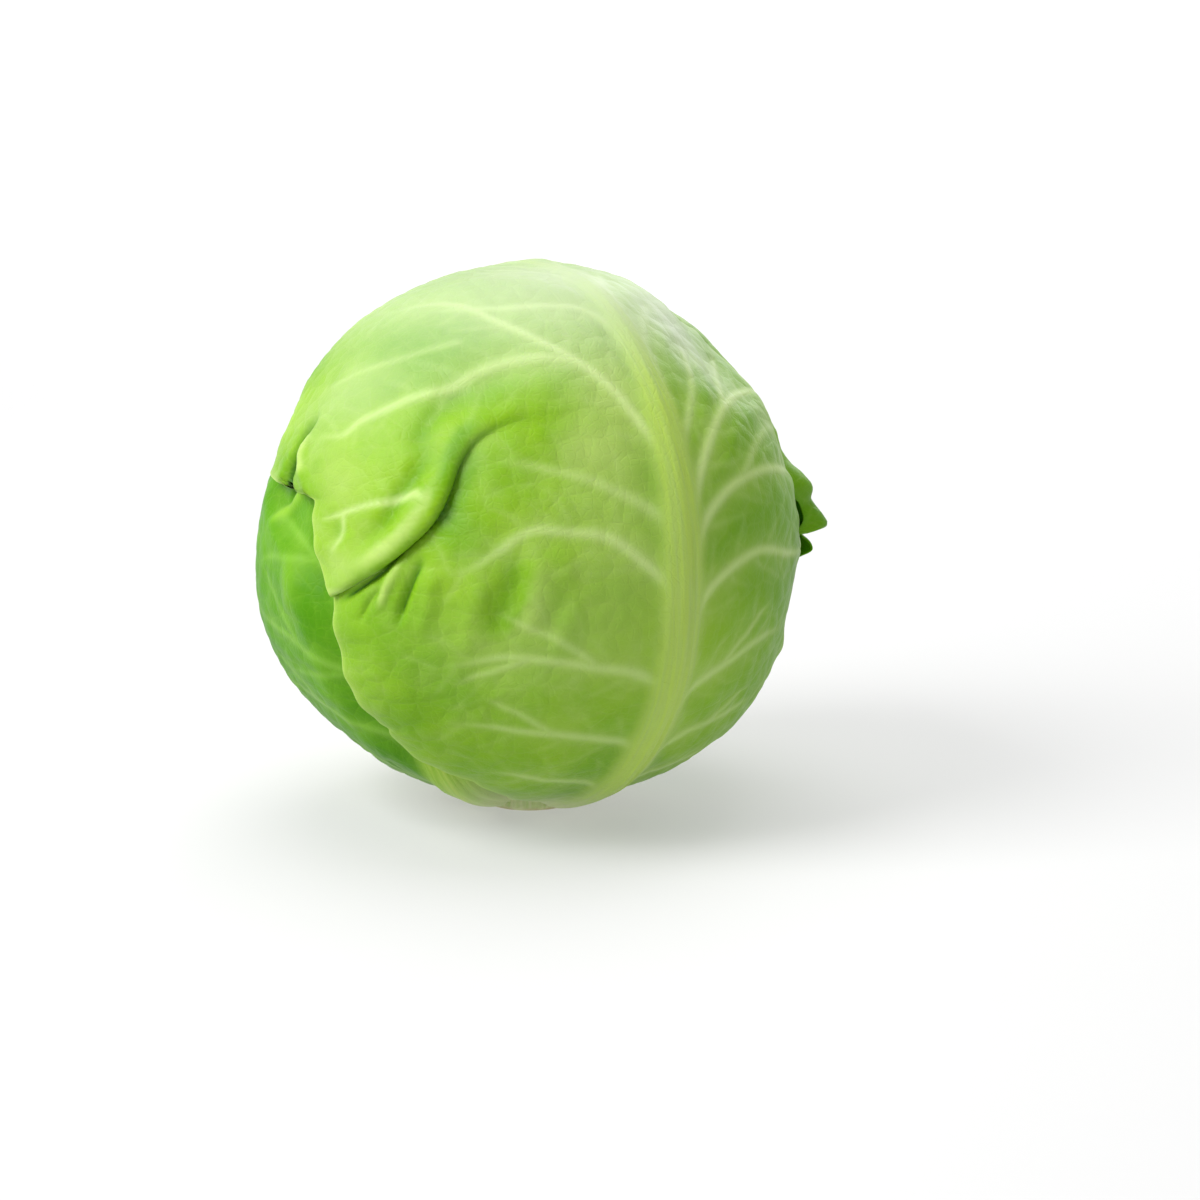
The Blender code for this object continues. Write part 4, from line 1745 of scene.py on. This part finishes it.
FRONT_FOLDS = (
    Fold(
        (
            (-14, 35), (-24, 35), (-33, 34.5), (-39, 32), (-43, 28), (-46.5, 22), (-50, 17),
            (-56, 12), (-63, 7.5), (-71, 3.5), (-82, -2.5),
        ),
        0.0030, 0.0034, 0.0125, grown=0.60, end=0.75,
    ),
)
FRONT_CREASES = (
    # the rolled lip of the fold and the valley behind it
    Crease(((-45, 30), (-49, 25), (-52, 20), (-57, 15), (-63, 10.5), (-72, 6)), 0.0004, 0.0019),
    Crease(((-45, 34), (-50, 28), (-55, 22.5), (-60, 17), (-66, 13), (-72, 10.5)), -0.0016, 0.0030),
    Crease(((-20, 45), (-30, 44), (-39, 40), (-47, 35)), -0.0009, 0.0048),
    Crease(((-34, 46), (-42, 42), (-48, 36), (-51, 29)), -0.0012, 0.0040),
    # crinkles at the fold's lower end
    Crease(((-54, 12), (-59, 7.5), (-64, 3.5), (-69, 0.5), (-74, -4)), -0.0022, 0.0012),
    Crease(((-56, 8), (-59, 5), (-62, 0.5), (-64, -5)), 0.0014, 0.0016),
    Crease(((-52, 9), (-55, 4), (-58, -2), (-60, -9)), -0.0022, 0.0017),
    Crease(((-48, 6), (-52, 1), (-54, -6), (-57, -12)), 0.0010, 0.0026),
    Crease(((-62, 2), (-66, -2), (-69, -8)), -0.0014, 0.0014),
    # soft upright folds low down
    Crease(((-24, 9), (-25, -4), (-28, -18)), 0.0010, 0.0044),
    Crease(((-34, 9), (-36, 0), (-42, -12)), -0.0013, 0.0042),
    Crease(((-30, 9), (-31, -1), (-35, -12)), 0.0010, 0.0046),
    Crease(((-20, 5), (-25, -2), (-30, -12)), -0.0008, 0.0034),
    Crease(((-41, 5), (-44, -5), (-46, -16)), 0.0010, 0.0038),
    # the slit by the upper left corner, and the corner's lip
    Crease(((-70, 53), (-75, 51), (-80, 48.5), (-85, 45), (-90, 39), (-96, 30)), -0.0056, 0.0021),
    Crease(((-83, 45), (-87, 41), (-89, 36), (-91, 29)), -0.0024, 0.0040),
    Crease(((-74, 47.5), (-79, 45.5), (-81, 41), (-81, 34), (-78, 24)), 0.0012, 0.0026),
)
FRONT_SWELLS = (
    Swell(-64, 30, 10, 14, 0.0012, 20),
    Swell(-72, 17, 2.6, 4.0, -0.0013, -15),
    Swell(-34, 52, 20, 9, 0.0008, -25),
    Swell(-32, 20, 9, 8, -0.0008),
    Swell(28, 8, 14, 22, 0.0010),
)
# Painted light and shade on the front leaf: paler where the value is positive, as painted highlight on
# the fold's rolled lip, on ridges and where the blade is lit most; deeper green where it is negative, as
# painted shade in the fold's valley and crevice, in the crinkles and the slit, and where the blade faces
# away from the light.
FRONT_PAINTED_LIGHT_AND_SHADE = (
    Crease(((-44, 30), (-48, 24.5), (-51.5, 19.5), (-57, 14.5), (-63, 10.5), (-72, 6)), 0.8, 0.0021),
    Crease(((-36, 31), (-40.5, 26.5), (-43.5, 21), (-47, 16), (-52, 11.5)), -1.1, 0.0034),
    Crease(((-45, 34), (-50, 28), (-55, 22.5), (-60, 17), (-66, 13)), -0.9, 0.0030),
    Crease(((-34, 37), (-40, 34), (-44, 29.5), (-47.5, 23.5), (-50, 19)), -1.2, 0.0022),
    Crease(((-34, 46), (-42, 42), (-48, 36), (-50, 28)), -0.9, 0.0042),
    Crease(((-56, 10), (-60, 6.5), (-65, 3), (-70, 0), (-76, -4)), -2.2, 0.0011),
    Crease(((-52, 9), (-55, 4), (-58, -2), (-60, -9)), -1.8, 0.0013),
    Crease(((-56, 8), (-59, 5), (-62, 0.5), (-64, -5)), 0.6, 0.0015),
    Crease(((-34, 9), (-36, 0), (-42, -12)), -0.9, 0.0040),
    Crease(((-30, 9), (-31, -1), (-35, -12)), 0.3, 0.0044),
    Crease(((-82, 46), (-86, 42), (-89, 37), (-91, 30), (-92, 22)), -2.6, 0.0042),
    Swell(17, 38, 6, 6, -0.8),
    Crease(((-70, 53), (-75, 51), (-80, 48.5), (-85, 45), (-90, 39), (-96, 30)), -2.6, 0.0025),
    Crease(((-74, 47.5), (-79, 45.5), (-81, 41), (-81, 34)), 1.0, 0.0022),
    Swell(-12, 28, 13, 40, 0.55),
    Swell(-30, 72, 40, 14, 0.2),
    Swell(-69, 30, 9, 14, 0.55),
    Swell(-60, 55, 16, 10, 0.4),
    Swell(-100, 36, 8, 12, 0.9),
    Swell(-73, 8, 6, 8, 0.5),
    Swell(-72, 16.5, 2.6, 3.6, -0.8),
    Swell(-32, 24, 9, 9, -0.6, 30),
    Swell(-37, 57, 11, 5, -0.7, -15),
    Swell(-36, 43.5, 8, 3.5, -0.7, -10),
    Swell(-6, 38, 6, 10, 0.35),
    Swell(-19, 25.5, 8, 5, 0.4),
    Swell(24, 44, 9, 9, 0.6),
    Swell(39, 28, 7, 4, 0.7),
    Swell(-45, 12, 6, 8, -0.9, 30),
    Swell(34, 0, 20, 40, -1.0),
    Swell(46, -4, 10, 16, -0.7),
    Swell(30, 34, 14, 12, -0.6),
    Swell(-36, -12, 26, 16, 0.4),
    Swell(-26, 46, 14, 8, -0.4),
)
# Spots of painted sheen where the front leaf's upper part is lit most.
FRONT_PAINTED_SHEEN_SPOTS = (
    Swell(21, 55, 8, 9, 0.6, -20), Swell(0, 74, 20, 12, 0.3), Swell(-62, 52, 14, 10, 0.35),
    Swell(25, 43, 8, 8, 0.4), Swell(39, 29, 6, 5, 0.35),
)
FRONT_LOBES = (Lobe(154, 10, 3.0, 0.0075, 0.0), Lobe(161.0, 2.6, 9.5, -0.0254, 0.0))
LEFT_CREASES = (
    Crease(((-29, 30), (-33, 26), (-37, 20), (-41, 13)), -0.0030, 0.0022),
    Crease(((-30, 22), (-35, 17), (-40, 13), (-45, 8)), 0.0014, 0.0026),
    Crease(((-27, 24), (-24, 14), (-21, 6), (-20, -6)), -0.0022, 0.0042),
    Crease(((-31, 10), (-30, 0), (-30, -12)), 0.0010, 0.0050),
)
LEFT_SWELLS = (Swell(-44, 26, 8, 14, 0.0012),)
# Painted shade on the left leaf: deeper green in the slit and along the front leaf's margin above it.
# The two positive marks make a ridge and a patch low down paler.
LEFT_PAINTED_SHADE_AND_PALE_MARKS = (
    Crease(((-27, 32), (-33, 26), (-37, 20), (-41, 13)), -2.0, 0.0030),
    Crease(((-30, 22), (-35, 17), (-40, 13), (-45, 8)), 0.9, 0.0026),
    Crease(((-27, 26), (-24, 14), (-21, 6), (-20, -10)), -1.7, 0.0044),
    Swell(-30, -2, 5, 12, 0.4),
)
RIGHT_FRILL = (
    Lobe(166.6, 4.0, 2.4, 0.004, 0.0082, 2.4),
    Lobe(175.0, 4.6, 0.9, 0.014, 0.0260, 1.1),
    Lobe(179.6, 2.4, 2.4, 0.003, 0.0074, 2.6),
)
# Painted shade: the back leaf is deeper green beside the front leaf's lifted right margin and over its
# frilled margin.
BACK_PAINTED_SHADE = (Swell(-74, 6, 14, 26, -1.5),)


def blades() -> list[Blade]:
    """The leaves as they are built, from the outermost to the innermost."""
    front, back, left, *rest = LEAVES
    made = [
        Blade(
            front, OUTER, "outer_leaf", 264, 100, FRONT_VEINS, 3,
            FRONT_FOLDS, FRONT_CREASES, FRONT_SWELLS, FRONT_PAINTED_LIGHT_AND_SHADE, FRONT_PAINTED_SHEEN_SPOTS, FRONT_LOBES,
            lean=0.2, jag=0.0008, ruffle=0.0007,
        ),
        Blade(
            back, BACK, "outer_leaf", 240, 200, pinnate(back, 21), 2,
            painted_light_shade_and_tints=BACK_PAINTED_SHADE, lobes=RIGHT_FRILL, jag=0.0011,
        ),
        Blade(
            left, LEFT, "outer_leaf", 230, 300, pinnate(left, 31, 0.42), 1,
            # less painted sheen on its top
            creases=LEFT_CREASES, swells=LEFT_SWELLS, painted_light_shade_and_tints=LEFT_PAINTED_SHADE_AND_PALE_MARKS, painted_sheen=0.3,
        ),
    ]
    for place, leaf in enumerate(rest, 4):
        middle = leaf.node.startswith("middle")
        finish, slot, cells = (MIDDLE, "middle_leaf", 180) if middle else (INNER, "inner_leaf", 120)
        made.append(Blade(leaf, finish, slot, cells, place * 100, pinnate(leaf, place * 10), 1))
    return made


def main() -> None:
    """Builds the head and its studio."""
    logging.basicConfig(level=logging.INFO, format="%(message)s")
    for blade in blades():
        blade.build()
    stem = Stem()
    stem.build()
    Heart().build(stem)
    Studio().build()


if __name__ == "__main__":
    main()
